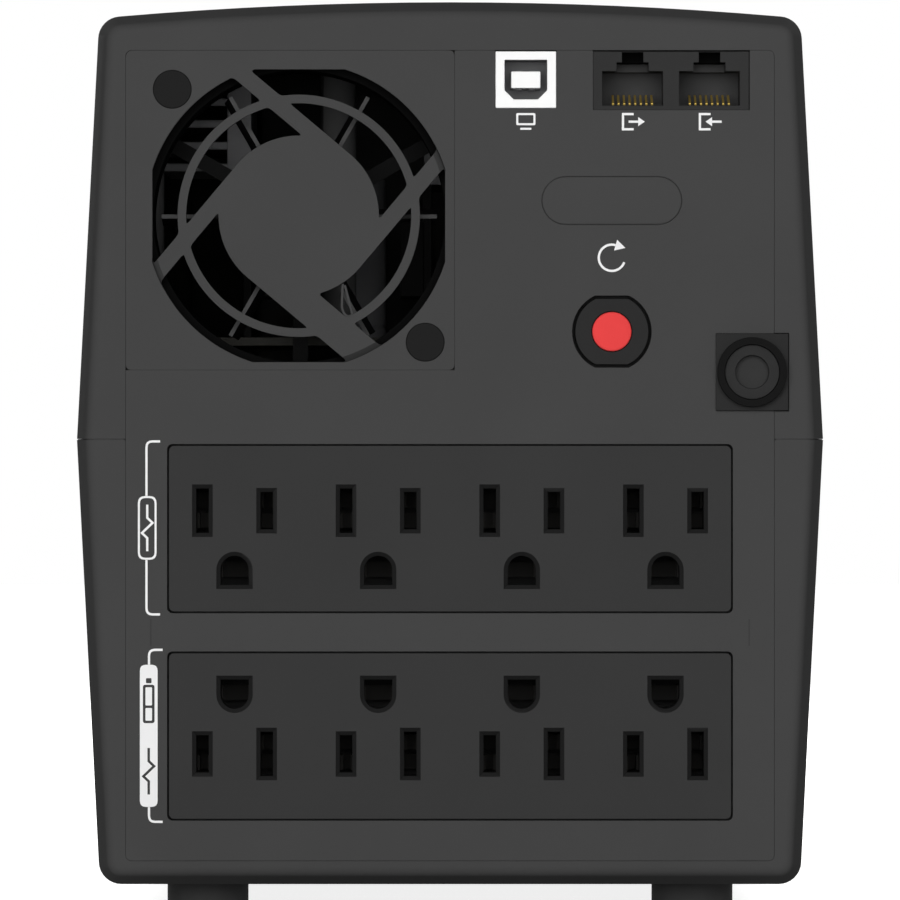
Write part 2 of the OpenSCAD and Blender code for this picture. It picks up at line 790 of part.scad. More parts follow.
tube_z0 = cup_d0 - fan_d0 + cup_t + 0.8;
module fan_rotor() color([0.13, 0.13, 0.13]) at_fan(cup_d0) {
    difference() {
        cylinder(d = hub_dia, h = cup_h);
        translate([0, 0, cup_t]) cylinder(d = hub_dia - 2 * cup_wall, h = cup_h);
        translate([0, 0, -1]) cylinder(d = shaft_dia + 2 * snug, h = cup_t + 2);
    }
    // Blades stand almost along the axis, so that they show edge on
    blade_l = (blade_dia - hub_dia) / 2 + 0.6;
    for (k = [0:blade_n - 1]) rotate(360 * k / blade_n)
        translate([hub_dia / 2 - 0.6, 0, 1.5]) rotate([blade_pitch, 0, 0])
            translate([0, -blade_t / 2, 0]) cube([blade_l, blade_t, cup_h - 3]);
}

shaft_l = fan_t - base_t - 3;
module fan_shaft() color("silver") at_fan(cup_d0) cylinder(d = shaft_dia, h = shaft_l);

module fan_magnet() color([0.2, 0.18, 0.17]) at_fan(cup_d0 + cup_t) difference() {
    cylinder(d = hub_dia - 2 * cup_wall - 2 * snug, h = cup_h - cup_t - 1);
    translate([0, 0, -1]) cylinder(d = hub_dia - 2 * cup_wall - 2 * magnet_t, h = cup_h);
}

module fan_bearing() color([0.7, 0.55, 0.3]) at_fan(fan_d0 + tube_z0) difference() {
    cylinder(r = bush_r - snug, h = fan_t - tube_z0 - base_t);
    translate([0, 0, -1]) cylinder(r = shaft_dia / 2 + running, h = fan_t);
}

module fan_stator() color([0.5, 0.3, 0.15]) at_fan(fan_d0 + tube_z0 + 2) difference() {
    cylinder(r = stator_r, h = fan_t - tube_z0 - base_t - 2);
    translate([0, 0, -1]) cylinder(r = tube_r + snug, h = fan_t);
}

// Sockets

module at_bank(z, turned) {
    translate([0, 0, z]) rotate([0, turned ? 180 : 0, 0]) children();
}

socket_places = [for (i = [0:socket_n - 1]) (i - (socket_n - 1) / 2) * socket_pitch];

// Through slots of one bank
module bank_slots() {
    for (x = socket_places) {
        translate([x - slot_pitch / 2, slot_rise]) square([slot_w, neutral_h], center = true);
        translate([x + slot_pitch / 2, slot_rise]) square([slot_w, line_h], center = true);
        translate([x, -earth_drop]) earth_hole(earth_w, earth_h);
    }
}

// Sloped mouth of a slot, wider at the face; the top stays upright where a round mouth goes on from it
module mouth(x, z0, z1, w, sloped_top) {
    grow = lead_in * (1 + fit);
    top = sloped_top ? grow : 0;
    y = [deep(face_recess - lead_d * fit), deep(face_recess + lead_d)];
    points = [
        [x - w / 2 - grow, y[0], z0 - grow], [x + w / 2 + grow, y[0], z0 - grow],
        [x + w / 2 + grow, y[0], z1 + top], [x - w / 2 - grow, y[0], z1 + top],
        [x - w / 2, y[1], z0], [x + w / 2, y[1], z0], [x + w / 2, y[1], z1], [x - w / 2, y[1], z1]];
    polyhedron(points, [[0, 3, 2, 1], [4, 5, 6, 7], [0, 1, 5, 4], [3, 7, 6, 2], [0, 4, 7, 3], [1, 2, 6, 5]]);
}

module bank_mouths() {
    for (x = socket_places) {
        mouth(x - slot_pitch / 2, slot_rise - neutral_h / 2, slot_rise + neutral_h / 2, slot_w, true);
        mouth(x + slot_pitch / 2, slot_rise - line_h / 2, slot_rise + line_h / 2, slot_w, true);
        round_z = (earth_h - earth_w) / 2 - earth_drop;
        mouth(x, -earth_drop - earth_h / 2, round_z, earth_w, false);
        translate([x, deep(face_recess - lead_d * fit), round_z]) rotate([-90, 0, 0])
            cylinder(r1 = earth_w / 2 + lead_in * (1 + fit), r2 = earth_w / 2, h = lead_d * (1 + fit));
    }
}

module socket_bank() difference() {
    union() {
        along_y(deep(face_recess), bank_d - face_recess) round_rect(face_w, face_h, 1);
        block(0, 0, face_w + 2 * bank_ear, face_h + 3, deep(panel_back + fit), bank_flange);
    }
    bank_mouths();
    along_y(deep(0), pocket_d + 1) bank_slots();
    block(0, 0, face_w - 2 * pocket_wall, face_h - 2 * pocket_wall, deep(pocket_d), bank_d);
    for (s = [-1, 1]) rod_y(s * bank_screw_x, 0, bank_screw_r + 0.1, deep(panel_back), 4);
}

module socket_bank_upper() color([0.22, 0.22, 0.22]) at_bank(bank_high_z, false) socket_bank();
module socket_bank_lower() color([0.22, 0.22, 0.22]) at_bank(bank_low_z, true) socket_bank();

module bank_cover() {
    along_y(deep(bank_d), cover_t) round_rect(face_w, face_h, 1);
    // Ribs that keep the contact strips in place
    for (z = [slot_rise + 2, slot_rise - 2])
        block(0, z, face_w - 2 * bank_end, 1.6, deep(z > slot_rise ? line_d + strip_t : neutral_d + strip_t),
            bank_d - (z > slot_rise ? line_d : neutral_d) - strip_t + eps);
    block(0, -earth_drop, face_w - 2 * bank_end, 1.6, deep(earth_d + strip_t),
        bank_d - earth_d - strip_t + eps);
}

module bank_cover_upper() color([0.2, 0.2, 0.2]) at_bank(bank_high_z, false) bank_cover();
module bank_cover_lower() color([0.2, 0.2, 0.2]) at_bank(bank_low_z, true) bank_cover();

module bank_screws() color("silver") for (s = [-1, 1], z = [bank_high_z, bank_low_z]) {
    head = panel_back + fit + bank_flange;
    rod_y(s * bank_screw_x, z, bank_screw_r, deep(panel_back - 2.5), head - panel_back + 2.5 + eps);
    rod_y(s * bank_screw_x, z, 1.5, deep(head), 1.3);
}

line_d = bank_d - 3;
neutral_d = bank_d - 6;
earth_d = bank_d - 5;
leaf_d = pocket_d + 0.3;
leaf_t = 0.7;
strip_l = socket_pitch * (socket_n - 1) + slot_pitch + 4;

// A pair of spring leaves either side of a blade, carried on a strip behind
module contact_row(x_off, z0, z1, half_gap, strip_z, strip_deep) {
    block(0, strip_z, strip_l, strip_w, deep(strip_deep), strip_t);
    for (x = socket_places, s = [-1, 1])
        translate([x + x_off + s * half_gap - leaf_t / 2, deep(leaf_d), z0])
            cube([leaf_t, strip_deep - leaf_d + eps, z1 - z0]);
}

module both_banks() {
    at_bank(bank_high_z, false) children();
    at_bank(bank_low_z, true) children();
}

module line_contacts() color([0.75, 0.6, 0.3]) both_banks()
    contact_row(slot_pitch / 2, slot_rise + 0.5, slot_rise + 3.5, 1.1, slot_rise + 2, line_d);
module neutral_contacts() color([0.75, 0.6, 0.3]) both_banks()
    contact_row(-slot_pitch / 2, slot_rise - 3.5, slot_rise - 0.5, 1.1, slot_rise - 2, neutral_d);
module earth_contacts() color([0.75, 0.6, 0.3]) both_banks()
    contact_row(0, -earth_drop - 1.5, -earth_drop + 1.5, 2.8, -earth_drop, earth_d);

// Ports

usb_hole_w = 8.4;
usb_hole_h = 7.8;
usb_cut = 1.8;
usb_tongue_w = 5.8;
usb_tongue_h = 3.3;
module usb_socket() color("white") difference() {
    union() {
        block(usb_x, usb_z, usb_w, usb_h, deep(-usb_out), usb_d + usb_out);
        usb_low = port_board_top;
        usb_mid = (usb_low + usb_z) / 2;
        block(usb_x, usb_mid, usb_w, usb_z - usb_low, deep(panel_back + 0.5), usb_d - panel_back - 0.5);
    }
    difference() {
        along_y(deep(-1), usb_d - 2) translate([usb_x, usb_z]) polygon([
            [-usb_hole_w / 2, usb_hole_h / 2], [usb_hole_w / 2, usb_hole_h / 2],
            [usb_hole_w / 2, usb_cut - usb_hole_h / 2], [usb_hole_w / 2 - usb_cut, -usb_hole_h / 2],
            [usb_cut - usb_hole_w / 2, -usb_hole_h / 2], [-usb_hole_w / 2, usb_cut - usb_hole_h / 2]]);
        block(usb_x, usb_z, usb_tongue_w, usb_tongue_h, deep(0.8), usb_d);
    }
}

module usb_contacts() color([0.8, 0.65, 0.3])
    for (x = [-1.25, 1.25], s = [-1, 1])
        block(usb_x + x, usb_z + s * (usb_tongue_h / 2 + 0.15), 1.1, 0.3, deep(2.5), 8);

jack_places = [jack_x - jack_pitch / 2, jack_x + jack_pitch / 2];
module network_jack() color([0.2, 0.2, 0.2]) difference() {
    block(jack_x, jack_z, jack_w, jack_h, deep(0.1), jack_d);
    for (x = jack_places) {
        low = jack_z - jack_h / 2 + jack_hole_low;
        latch_h = jack_h - jack_hole_low - jack_hole_h - step_h - 0.2;
        block(x, low + jack_hole_h / 2, jack_hole_w, jack_hole_h, deep(-1), jack_hole_d + 1);
        block(x, low + jack_hole_h + step_h / 2, step_w, step_h + 2 * eps, deep(-1), jack_hole_d - 3);
        latch_z = low + jack_hole_h + step_h + latch_h / 2;
        block(x, latch_z, latch_w, latch_h + 2 * eps, deep(-1), jack_hole_d - 6);
    }
}

contact_n = 8;
contact_pitch = 1.1;
contact_side = 0.45;
contact_tilt = 8;
module network_contacts() color([0.75, 0.6, 0.2])
    for (x = jack_places, i = [0:contact_n - 1])
        translate([x + (i - (contact_n - 1) / 2) * contact_pitch - contact_side / 2, deep(1.2),
            jack_z - jack_h / 2 + jack_hole_low + 0.05])
            rotate([contact_tilt, 0, 0]) cube([contact_side, 9, contact_side]);

module port_board() color([0.1, 0.3, 0.15]) difference() {
    x0 = usb_x - usb_w / 2 - 4;
    x1 = jack_x + jack_w / 2 + 1;
    translate([x0, deep(port_board_d[0]), port_board_top - port_board_t])
        cube([x1 - x0, port_board_d[1] - port_board_d[0], port_board_t]);
    for (x = port_post_x)
        column([x, port_post_d], port_board_top - 3, port_board_top + 1, screw_dia / 2 + 0.2);
}

module port_board_screws() color("silver") for (x = port_post_x) {
    under = port_board_top - port_board_t;
    column([x, port_post_d], under - 2, under, 2.6);
    column([x, port_post_d], under - eps, port_board_top + port_bite, screw_dia / 2);
}

module port_blank() color([0.27, 0.27, 0.27]) translate([blank_x, 0, blank_z]) {
    along_y(deep(0.1), panel_back + 2) round_rect(blank_w, blank_h, blank_h / 2);
    // Snap ridge behind the panel
    along_y(deep(panel_back + fit), 1.6) round_rect(blank_w + 2, blank_h + 2, blank_h / 2 + 1);
}

// Breaker

module breaker_body() color([0.19, 0.19, 0.19]) translate([breaker_x, 0, breaker_z]) difference() {
    union() {
        along_y(deep(breaker_recess), panel_back + 1) double_d(neck_dia, neck_flats);
        block(0, 0, breaker_body_w + 2, breaker_body_h + 4, deep(panel_back + fit), 2);
        block(0, 0, breaker_body_w, breaker_body_h, deep(panel_back + fit), breaker_d - panel_back);
    }
    rod_y(0, 0, reset_dia / 2 + reset_fit, deep(-1), reset_collar_d + 1);
    rod_y(0, 0, reset_collar_r + 0.3, deep(reset_collar_d), reset_travel + reset_collar_t + 0.6);
}

module reset_button() color([0.91, 0.28, 0.28]) translate([breaker_x, 0, breaker_z]) {
    rod_y(0, 0, reset_dia / 2, deep(-0.6), reset_collar_d + reset_travel + 0.9 + reset_collar_t / 2);
    rod_y(0, 0, reset_collar_r, deep(reset_collar_d + reset_travel + 0.3), reset_collar_t);
}

module breaker_terminals() color([0.75, 0.6, 0.3])
    for (z = [-4, 4]) block(breaker_x, breaker_z + z, 6.3, 0.8, deep(breaker_d + fit), 9);

// Cord gland

module cord_gland() color([0.17, 0.17, 0.17]) translate([gland_x, 0, gland_z]) difference() {
    union() {
        block(0, 0, gland_w, gland_h, deep(-gland_proud), gland_d + gland_proud);
        rod_y(0, 0, collar_dia / 2, deep(-gland_out), gland_out + 1);
    }
    rod_y(0, 0, collar_bore / 2, deep(-gland_out - 1), gland_d + gland_out + 2);
}

module gland_bush() color([0.2, 0.2, 0.2]) translate([gland_x, 0, gland_z]) difference() {
    bush_d0 = 1 - gland_out;
    rod_y(0, 0, collar_bore / 2 - 0.05, deep(bush_d0), gland_d - bush_d0);
    rod_y(0, 0, cord_dia / 2 + 0.1, deep(bush_d0 - 1), cord_seat + 1);
    rod_y(0, 0, cord_dia / 2 + 0.1, deep(bush_d0 + cord_seat + bush_web), gland_d);
}

// Front

front_slots = [for (i = [0:6]) foot_h + 16 + 6.5 * i];
module front_panel() color([0.13, 0.13, 0.13]) difference() {
    union() {
        difference() {
            case_loft(concat([[shell_d, 0]],
                [for (i = [len(edge_steps) - 1:-1:0]) [body_d - edge_steps[i][0], edge_steps[i][1]]]));
            along_y(deep(shell_d - 1), front_d + 1 - front_wall) polygon(outline(wall));
        }
        // Skirt that slides into both shells
        along_y(deep(shell_d - skirt_d), skirt_d + 4) difference() {
            polygon(outline(wall + fit));
            polygon(outline(wall + fit + skirt_t));
        }
        along_y(deep(shell_d + 1), 5) difference() {
            polygon(outline(wall - fit));
            polygon(outline(wall + fit + skirt_t));
        }
        // Posts for the display board and a guide for the power button
        for (s = [-1, 1], z = [lens_z + lens_h / 2 + 4, power_z - 14])
            rod_y(s * (display_half - 4), z, 3, deep(display_d), body_d - front_wall - display_d + 1);
    }
    along_y(deep(lens_d), lens_t + 1)
        translate([0, lens_z]) round_rect(lens_w + 2 * fit, lens_h + 2 * fit, 4);
    along_y(deep(shell_d), front_d + 1)
        translate([0, lens_z]) round_rect(lens_w - 2 * lens_ledge, lens_h - 2 * lens_ledge, 2);
    rod_y(0, power_z, power_dia / 2 + 0.25, deep(shell_d), front_d + 1);
    for (z = front_slots) block(0, z, front_slot[0], front_slot[1], deep(shell_d), front_d + 1);
}

module display_lens() color([0.03, 0.03, 0.04])
    along_y(deep(lens_d + eps), lens_t) translate([0, lens_z]) round_rect(lens_w, lens_h, 3.9);

module display_module() color([0.35, 0.45, 0.5])
    block(0, lens_z, lens_w - 2 * display_side, lens_h - 2 * display_edge, deep(display_d),
        lens_d - display_d - 0.4);

module display_board() color([0.1, 0.3, 0.15]) {
    z0 = power_z - display_low;
    z1 = lens_z + lens_h / 2 + display_high;
    block(0, (z0 + z1) / 2, 2 * display_half, z1 - z0, deep(display_d - display_board_t), display_board_t);
}

power_back = body_d - front_wall - fit - power_flange_t;
module power_button() color([0.55, 0.56, 0.58]) {
    rod_y(0, power_z, power_dia / 2, deep(power_back), body_d - 0.2 - power_back);
    rod_y(0, power_z, power_dia / 2 + power_flange, deep(power_back), power_flange_t);
    rod_y(0, power_z, 3, deep(power_back - 3), 3 + eps);
}

switch_top = power_back - 3 - power_travel - 0.3;
module power_switch() color([0.1, 0.1, 0.1]) {
    block(0, power_z, 6, 6, deep(display_d), switch_top - display_d - 1);
    rod_y(0, power_z, 1.7, deep(switch_top - 1 - eps), 1);
}

// Power parts

module transformer_core() color([0.35, 0.35, 0.37]) difference() {
    block(0, core_z + core_h / 2, core_w, core_h, deep(core_d - core_t / 2), core_t);
    for (s = [-1, 1])
        block(s * (tongue + yoke) / 2, core_z + core_h / 2, yoke, window_h,
            deep(core_d - core_t), 2 * core_t);
}

module spool(w, t, z0, h) {
    block(0, z0 + h / 2, w, h, deep(core_d - t / 2), t);
}

hole_w = tongue + 2 * bobbin_fit;
hole_t = core_t + 2 * bobbin_fit;
spool_z = core_z + yoke + bobbin_fit;
spool_h = window_h - 2 * bobbin_fit;
module transformer_bobbin() color([0.85, 0.82, 0.7]) difference() {
    union() {
        spool(hole_w + 2 * bobbin_t, hole_t + 2 * bobbin_t, spool_z, spool_h);
        for (z = [spool_z, spool_z + spool_h - bobbin_t])
            spool(tongue + 2 * coil_out, core_t + 2 * coil_out, z, bobbin_t);
    }
    spool(hole_w, hole_t, spool_z - 1, spool_h + 2);
}

coil_z = spool_z + bobbin_t + fit;
coil_h = spool_h - 2 * bobbin_t - 2 * fit;
module transformer_coil() color([0.7, 0.4, 0.2]) difference() {
    spool(tongue + 2 * coil_out - 1, core_t + 2 * coil_out - 1, coil_z, coil_h);
    spool(hole_w + 2 * bobbin_t + 2 * fit, hole_t + 2 * bobbin_t + 2 * fit, spool_z, spool_h);
}

module transformer_bracket() color([0.75, 0.75, 0.72]) difference() {
    half = core_w / 2 + fit + bracket_t;
    foot_out = half + bracket_foot;
    bracket_y = deep(core_d - bracket_d / 2);
    union() {
        block(0, core_z + core_h + fit + bracket_t / 2, 2 * half, bracket_t, bracket_y, bracket_d);
        for (s = [-1, 1]) {
            block(s * (half - bracket_t / 2), core_z + (core_h + fit) / 2 + eps, bracket_t, core_h + fit,
                bracket_y, bracket_d);
            block(s * (half + foot_out - bracket_t) / 2, core_z + bracket_t / 2 + eps,
                foot_out - half + bracket_t, bracket_t, deep(core_d - 7), 14);
        }
    }
    for (p = bracket_places) column(p, core_z - 1, core_z + 3, bolt_r + 0.2);
}

module transformer_bolts() color("silver") for (p = bracket_places) {
    head = core_z + bracket_t + 2 * eps;
    column(p, foot_h + 1.6, head + eps, bolt_r);
    column(p, head, head + 3, 3.4);
}

module main_board() color([0.12, 0.35, 0.18]) difference() {
    translate([-board_half, deep(board_d0), board_z]) cube([2 * board_half, board_d, board_t]);
    for (p = post_places) column(p, board_z - 1, board_top + 1, screw_dia / 2 + 0.2);
}

module board_screws() color("silver") for (p = post_places) {
    column(p, board_z - board_bite, board_top + eps, screw_dia / 2);
    column(p, board_top, board_top + 2, 2.6);
}

// Upright web on the board, with a thick back and level fins at its top, all to one side
module heat_sink(x, side) {
    back_h = sink_fin_n * fin_pitch;
    along_y(deep(sink_d0), sink_len) translate([x, board_top]) {
        leaning(side, sink_web_t, 0, sink_h);
        leaning(side, sink_base_t, sink_h - back_h, sink_h);
        for (i = [1:sink_fin_n]) {
            fin_z = sink_h - back_h + i * fin_pitch;
            leaning(side, sink_base_t + sink_fin_w, fin_z - sink_fin_t, fin_z);
        }
    }
}

module leaning(side, w, z0, z1) {
    translate([side < 0 ? -w : 0, z0]) square([w, z1 - z0]);
}

module heat_sink_left() color([0.5, 0.5, 0.52]) heat_sink(sink_x, -1);
module heat_sink_right() color([0.5, 0.5, 0.52]) heat_sink(sink_right_x, 1);

// Rows of like parts on the board, as many as its length takes
function row_n(room, part, pitch) = floor((room - part) / pitch) + 1;
part_in = 8;
transistor = [4.6, 10.2, 15];
transistor_pitch = 16;
transistor_rise = 16;
transistor_n = row_n(sink_len - part_in, transistor[1], transistor_pitch);
module transistors() color([0.1, 0.1, 0.1])
    for (i = [0:transistor_n - 1], at = [[sink_x, 1], [sink_right_x, -1]])
        block(at[0] + at[1] * (transistor[0] / 2 + fit), board_top + transistor_rise,
            transistor[0], transistor[2], deep(sink_d0 + part_in + i * transistor_pitch), transistor[1]);

capacitor_r = 6;
capacitor_h = 32;
capacitor_pitch = 17;
capacitor_side = 21;
capacitor_n = row_n(sink_len - part_in, capacitor_r, capacitor_pitch);
module capacitors() color([0.15, 0.2, 0.35])
    for (i = [0:capacitor_n - 1])
        column([sink_x + capacitor_side, sink_d0 + part_in + i * capacitor_pitch], board_top,
            board_top + capacitor_h, capacitor_r);

relay = [12, 20, 16];
relay_pitch = 26;
relay_side = 18;
relay_in = 20;
relay_n = row_n(board_d - relay_in - part_in, relay[1], relay_pitch);
module relays() color([0.15, 0.15, 0.15])
    for (i = [0:relay_n - 1])
        block(board_half - relay_side, board_top + relay[2] / 2, relay[0], relay[2],
            deep(board_d0 + relay_in + i * relay_pitch), relay[1]);

// Batteries

module battery(x) {
    difference() {
        block(x, battery_z + battery_h / 2, battery_w, battery_h, deep(battery_d0), battery_d);
        // Step around the lid
        for (s = [-1, 1])
            block(x + s * battery_w / 2, battery_top - 9, 1.6, 1.2, deep(battery_d0 - 1), battery_d + 2);
    }
}

module battery_left() color([0.25, 0.25, 0.27]) battery(-battery_x);
module battery_right() color([0.25, 0.25, 0.27]) battery(battery_x);

tab_d = 12;
tab_in = 20;
tab_l = 6.3;
tab_t = 0.8;
pad_d = 14;
module battery_tabs() color([0.75, 0.6, 0.3])
    for (s = [-1, 1], t = [-1, 1])
        block(s * battery_x + t * tab_in, battery_top + tab_h / 2, tab_t, tab_h,
            deep(battery_d0 + tab_d), tab_l);

module battery_pads() color([0.12, 0.12, 0.12])
    for (d = stay_d) block(0, battery_top + pad_t / 2, stay_w, pad_t, deep(d + (stay_t - pad_d) / 2), pad_d);

// Leads between the battery tabs, and from the tabs to the board
lead_z = battery_top + lead_r + 0.3;
jumper_x = battery_x - tab_in - 0.6;
lead_out = battery_x + tab_in - lead_r - 0.7;
lead_rise = board_z - lead_z - 0.9;
function lead_route(s) = [for (p = [[16, 0], [8, 0], [2, 0], [-3, 0.16], [-6, 0.52], [-8, 1]])
    [s * lead_out, deep(battery_d0 + p[0]), lead_z + p[1] * lead_rise]];
module battery_jumper() color([0.1, 0.1, 0.12])
    swept([for (x = [-1, -0.5, 0, 0.5, 1]) [x * jumper_x, deep(battery_d0 + tab_d + 3), lead_z]], lead_r);
module battery_lead_red() color([0.7, 0.1, 0.1]) swept(lead_route(1), lead_r);
module battery_lead_black() color([0.05, 0.05, 0.05]) swept(lead_route(-1), lead_r);

lower_shell();
upper_shell();
rear_panel();
front_panel();
display_lens();
display_module();
display_board();
power_button();
power_switch();
feet();
case_screws();
fan_grille();
fan_rivets();
fan_frame();
fan_rotor();
fan_shaft();
fan_magnet();
fan_bearing();
fan_stator();
socket_bank_upper();
socket_bank_lower();
bank_cover_upper();
bank_cover_lower();
bank_screws();
line_contacts();
neutral_contacts();
earth_contacts();
usb_socket();
usb_contacts();
network_jack();
network_contacts();
port_board();
port_board_screws();
port_blank();
breaker_body();
reset_button();
breaker_terminals();
cord_gland();
gland_bush();
transformer_core();
transformer_bobbin();
transformer_coil();
transformer_bracket();
transformer_bolts();
main_board();
board_screws();
heat_sink_left();
heat_sink_right();
transistors();
capacitors();
relays();
battery_left();
battery_right();
battery_tabs();
battery_pads();
battery_jumper();
battery_lead_red();
battery_lead_black();
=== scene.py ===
"""Looks of a mini-tower uninterruptible power supply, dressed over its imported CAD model."""

import json
from math import cos, pi, radians, sin, tan

import bmesh
import bpy
from bpy.props import BoolProperty, FloatProperty, FloatVectorProperty, IntProperty, PointerProperty
from mathutils import Matrix, Vector


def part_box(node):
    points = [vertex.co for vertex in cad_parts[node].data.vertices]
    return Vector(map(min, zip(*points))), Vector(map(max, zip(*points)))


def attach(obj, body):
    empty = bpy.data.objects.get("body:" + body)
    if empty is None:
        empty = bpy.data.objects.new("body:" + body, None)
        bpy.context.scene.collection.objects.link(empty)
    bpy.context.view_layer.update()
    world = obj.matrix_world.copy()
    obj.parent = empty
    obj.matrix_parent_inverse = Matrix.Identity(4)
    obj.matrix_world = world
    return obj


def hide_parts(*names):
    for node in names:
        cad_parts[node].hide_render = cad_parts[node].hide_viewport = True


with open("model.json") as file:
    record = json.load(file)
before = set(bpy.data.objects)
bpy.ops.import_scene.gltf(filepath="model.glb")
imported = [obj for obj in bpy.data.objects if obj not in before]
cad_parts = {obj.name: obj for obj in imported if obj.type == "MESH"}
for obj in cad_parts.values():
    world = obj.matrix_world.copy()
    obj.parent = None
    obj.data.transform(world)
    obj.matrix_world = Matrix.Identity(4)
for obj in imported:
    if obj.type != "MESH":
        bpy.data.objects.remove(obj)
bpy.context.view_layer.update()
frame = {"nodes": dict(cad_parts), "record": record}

bl_info = {
    "name": "Mini-tower power supply",
    "version": (1, 0, 0),
    "blender": (4, 5, 0),
    "location": "View3D > Sidebar > Power supply",
    "description": "Dresses the CAD model of an uninterruptible power supply seen from its socket side",
    "category": "Object",
}

MM = 0.001
RECORD = frame["record"]
BODY_OF = {node: body for body, nodes in RECORD["behaviour"]["bodies"].items() for node in nodes}

PANEL_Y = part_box("rear_panel")[0].y
PANEL_BACK_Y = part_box("rear_panel")[1].y
FAN_AXIS = sum(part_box("fan_frame"), Vector()) / 2
FOOT_DIA = 16.2

# Points nearer than MERGE are one, and a face within FLAT of a depth lies in it
MERGE = 0.001 * MM
FLAT = 0.002 * MM
# Turns, in degrees: faces that are one plane, edges that shade sharp, edges that get a round
LEVEL_TURN = 0.5
SHARP_TURN = 32
HARD_TURN = 40


# Settings that a user would change

def colour(name, description, default):
    """A colour setting."""
    return FloatVectorProperty(
        name=name, description=description, default=default, subtype="COLOR", size=3, min=0.0, max=1.0
    )


def length(name, description, default):
    """A length setting in metres."""
    return FloatProperty(
        name=name, description=description, default=default, min=0.0, unit="LENGTH", precision=5
    )


def power(name, description, default):
    """A lamp's power setting in watts."""
    return FloatProperty(name=name, description=description, default=default, min=0.0, unit="POWER")


class SupplyColours(bpy.types.PropertyGroup):
    """Colours of the visible plastics and prints"""

    case: colour("Case", "Moulded shells and front", (0.0545, 0.0545, 0.0545))
    panel: colour("Panel", "Rear panel, fan grille and port blank", (0.0545, 0.0545, 0.0545))
    socket: colour("Sockets", "Face of the socket banks", (0.038, 0.038, 0.038))
    dark: colour("Dark parts", "Fan, breaker, gland and jack", (0.0255, 0.0255, 0.0255))
    white: colour("White part", "Square data socket", (0.90, 0.90, 0.895))
    reset: colour("Reset button", "Breaker's push button", (0.74, 0.059, 0.059))
    mark: colour("Print", "Printed brackets and signs", (0.80, 0.80, 0.80))


class SupplySizes(bpy.types.PropertyGroup):
    """Sizes of the details that the CAD model leaves plain"""

    edge: length("Plate edge", "Rounding of the panel's and the grille's edges", 0.1 * MM)
    close: length("Closing", "How far the plates close the gaps round them", 0.14 * MM)
    grain: length("Grain", "Grain of the moulded texture", 0.35 * MM)
    relief: length("Relief", "Height of the moulded texture", 0.02 * MM)
    blade_camber: length("Blade camber", "Bow of a fan blade", 0.2 * MM)
    blade_pitch: FloatProperty(
        name="Blade pitch", description="Tilt of a fan blade", default=radians(6), subtype="ANGLE"
    )
    blades: IntProperty(name="Blades", description="Number of fan blades", default=6, min=3, max=11)
    print_height: length("Print height", "Thickness of the printed marks", 0.03 * MM)
    print_width: length("Print width", "Width of the printed lines", 0.45 * MM)


class SupplyStage(bpy.types.PropertyGroup):
    """Camera, lights and floor"""

    distance: length("Distance", "From the camera to the rear panel", 2.5)
    view_width: length("View width", "Width of the view at the rear panel", 0.1779)
    view_height: length("View height", "Height of the view's middle", 0.0925)
    key: power("Key light", "Power of the large front light", 66.0)
    back: power("Back lights", "Power of each light behind", 40.0)
    sky: FloatProperty(name="Sky", description="Strength of the even light all round", default=0.08)
    shadow: BoolProperty(name="Shadow", description="Keep the shadow on the floor", default=True)


# Meshes

def mesh_of(bm, name):
    """The finished plain mesh of a bmesh."""
    mesh = bpy.data.meshes.new(name)
    bm.to_mesh(mesh)
    bm.free()
    return mesh


def baked(obj):
    """The evaluated mesh of an object, which is then removed."""
    bpy.context.view_layer.update()
    graph = bpy.context.evaluated_depsgraph_get()
    mesh = bpy.data.meshes.new_from_object(obj.evaluated_get(graph))
    mesh.name = obj.name
    bpy.data.objects.remove(obj)
    return mesh


def linked(name, data):
    """A new object in the scene."""
    obj = bpy.data.objects.new(name, data)
    bpy.context.scene.collection.objects.link(obj)
    return obj


def joined(name, meshes):
    """Several meshes as one."""
    bm = bmesh.new()
    for mesh in meshes:
        bm.from_mesh(mesh)
        bpy.data.meshes.remove(mesh)
    return mesh_of(bm, name)


def shaded(mesh, angle):
    """Smooth shading that keeps flat faces flat and sharp edges sharp."""
    mesh.polygons.foreach_set("use_smooth", [True] * len(mesh.polygons))
    mesh.set_sharp_from_angle(angle=radians(angle))
    obj = linked(mesh.name, mesh)
    weights = obj.modifiers.new("Even shading", "WEIGHTED_NORMAL")
    weights.keep_sharp = True
    weights.weight = 80
    return baked(obj)


def piece(name, mesh, finish, nodes=(), body="case", angle=SHARP_TURN):
    """A finished piece: shaded, painted, riding on its body and standing for its CAD nodes."""
    mesh = shaded(mesh, angle)
    mesh.materials.clear()
    mesh.materials.append(finish)
    obj = linked(name, mesh)
    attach(obj, BODY_OF[nodes[0]] if nodes else body)
    if nodes:
        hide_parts(*nodes)
    return obj


def two_tone(obj, finish, test):
    """Another finish on the faces that a test picks by their middle in mm and their normal."""
    obj.data.materials.append(finish)
    slot = len(obj.data.materials) - 1
    for face in obj.data.polygons:
        if test(face.center / MM, face.normal):
            face.material_index = slot


def cad_mesh(node, edge=0.0):
    """A merged copy of a CAD node, with its hard edges broken by a small round."""
    bm = bmesh.new()
    bm.from_mesh(frame["nodes"][node].data)
    bmesh.ops.remove_doubles(bm, verts=bm.verts, dist=MERGE)
    bmesh.ops.dissolve_limit(bm, angle_limit=radians(LEVEL_TURN), verts=bm.verts, edges=bm.edges)
    if edge:
        hard = [e for e in bm.edges if len(e.link_faces) == 2 and e.calc_face_angle() > radians(HARD_TURN)]
        bmesh.ops.bevel(
            bm, geom=hard, offset=edge, segments=2, profile=0.5, affect="EDGES", clamp_overlap=True
        )
    return mesh_of(bm, node)


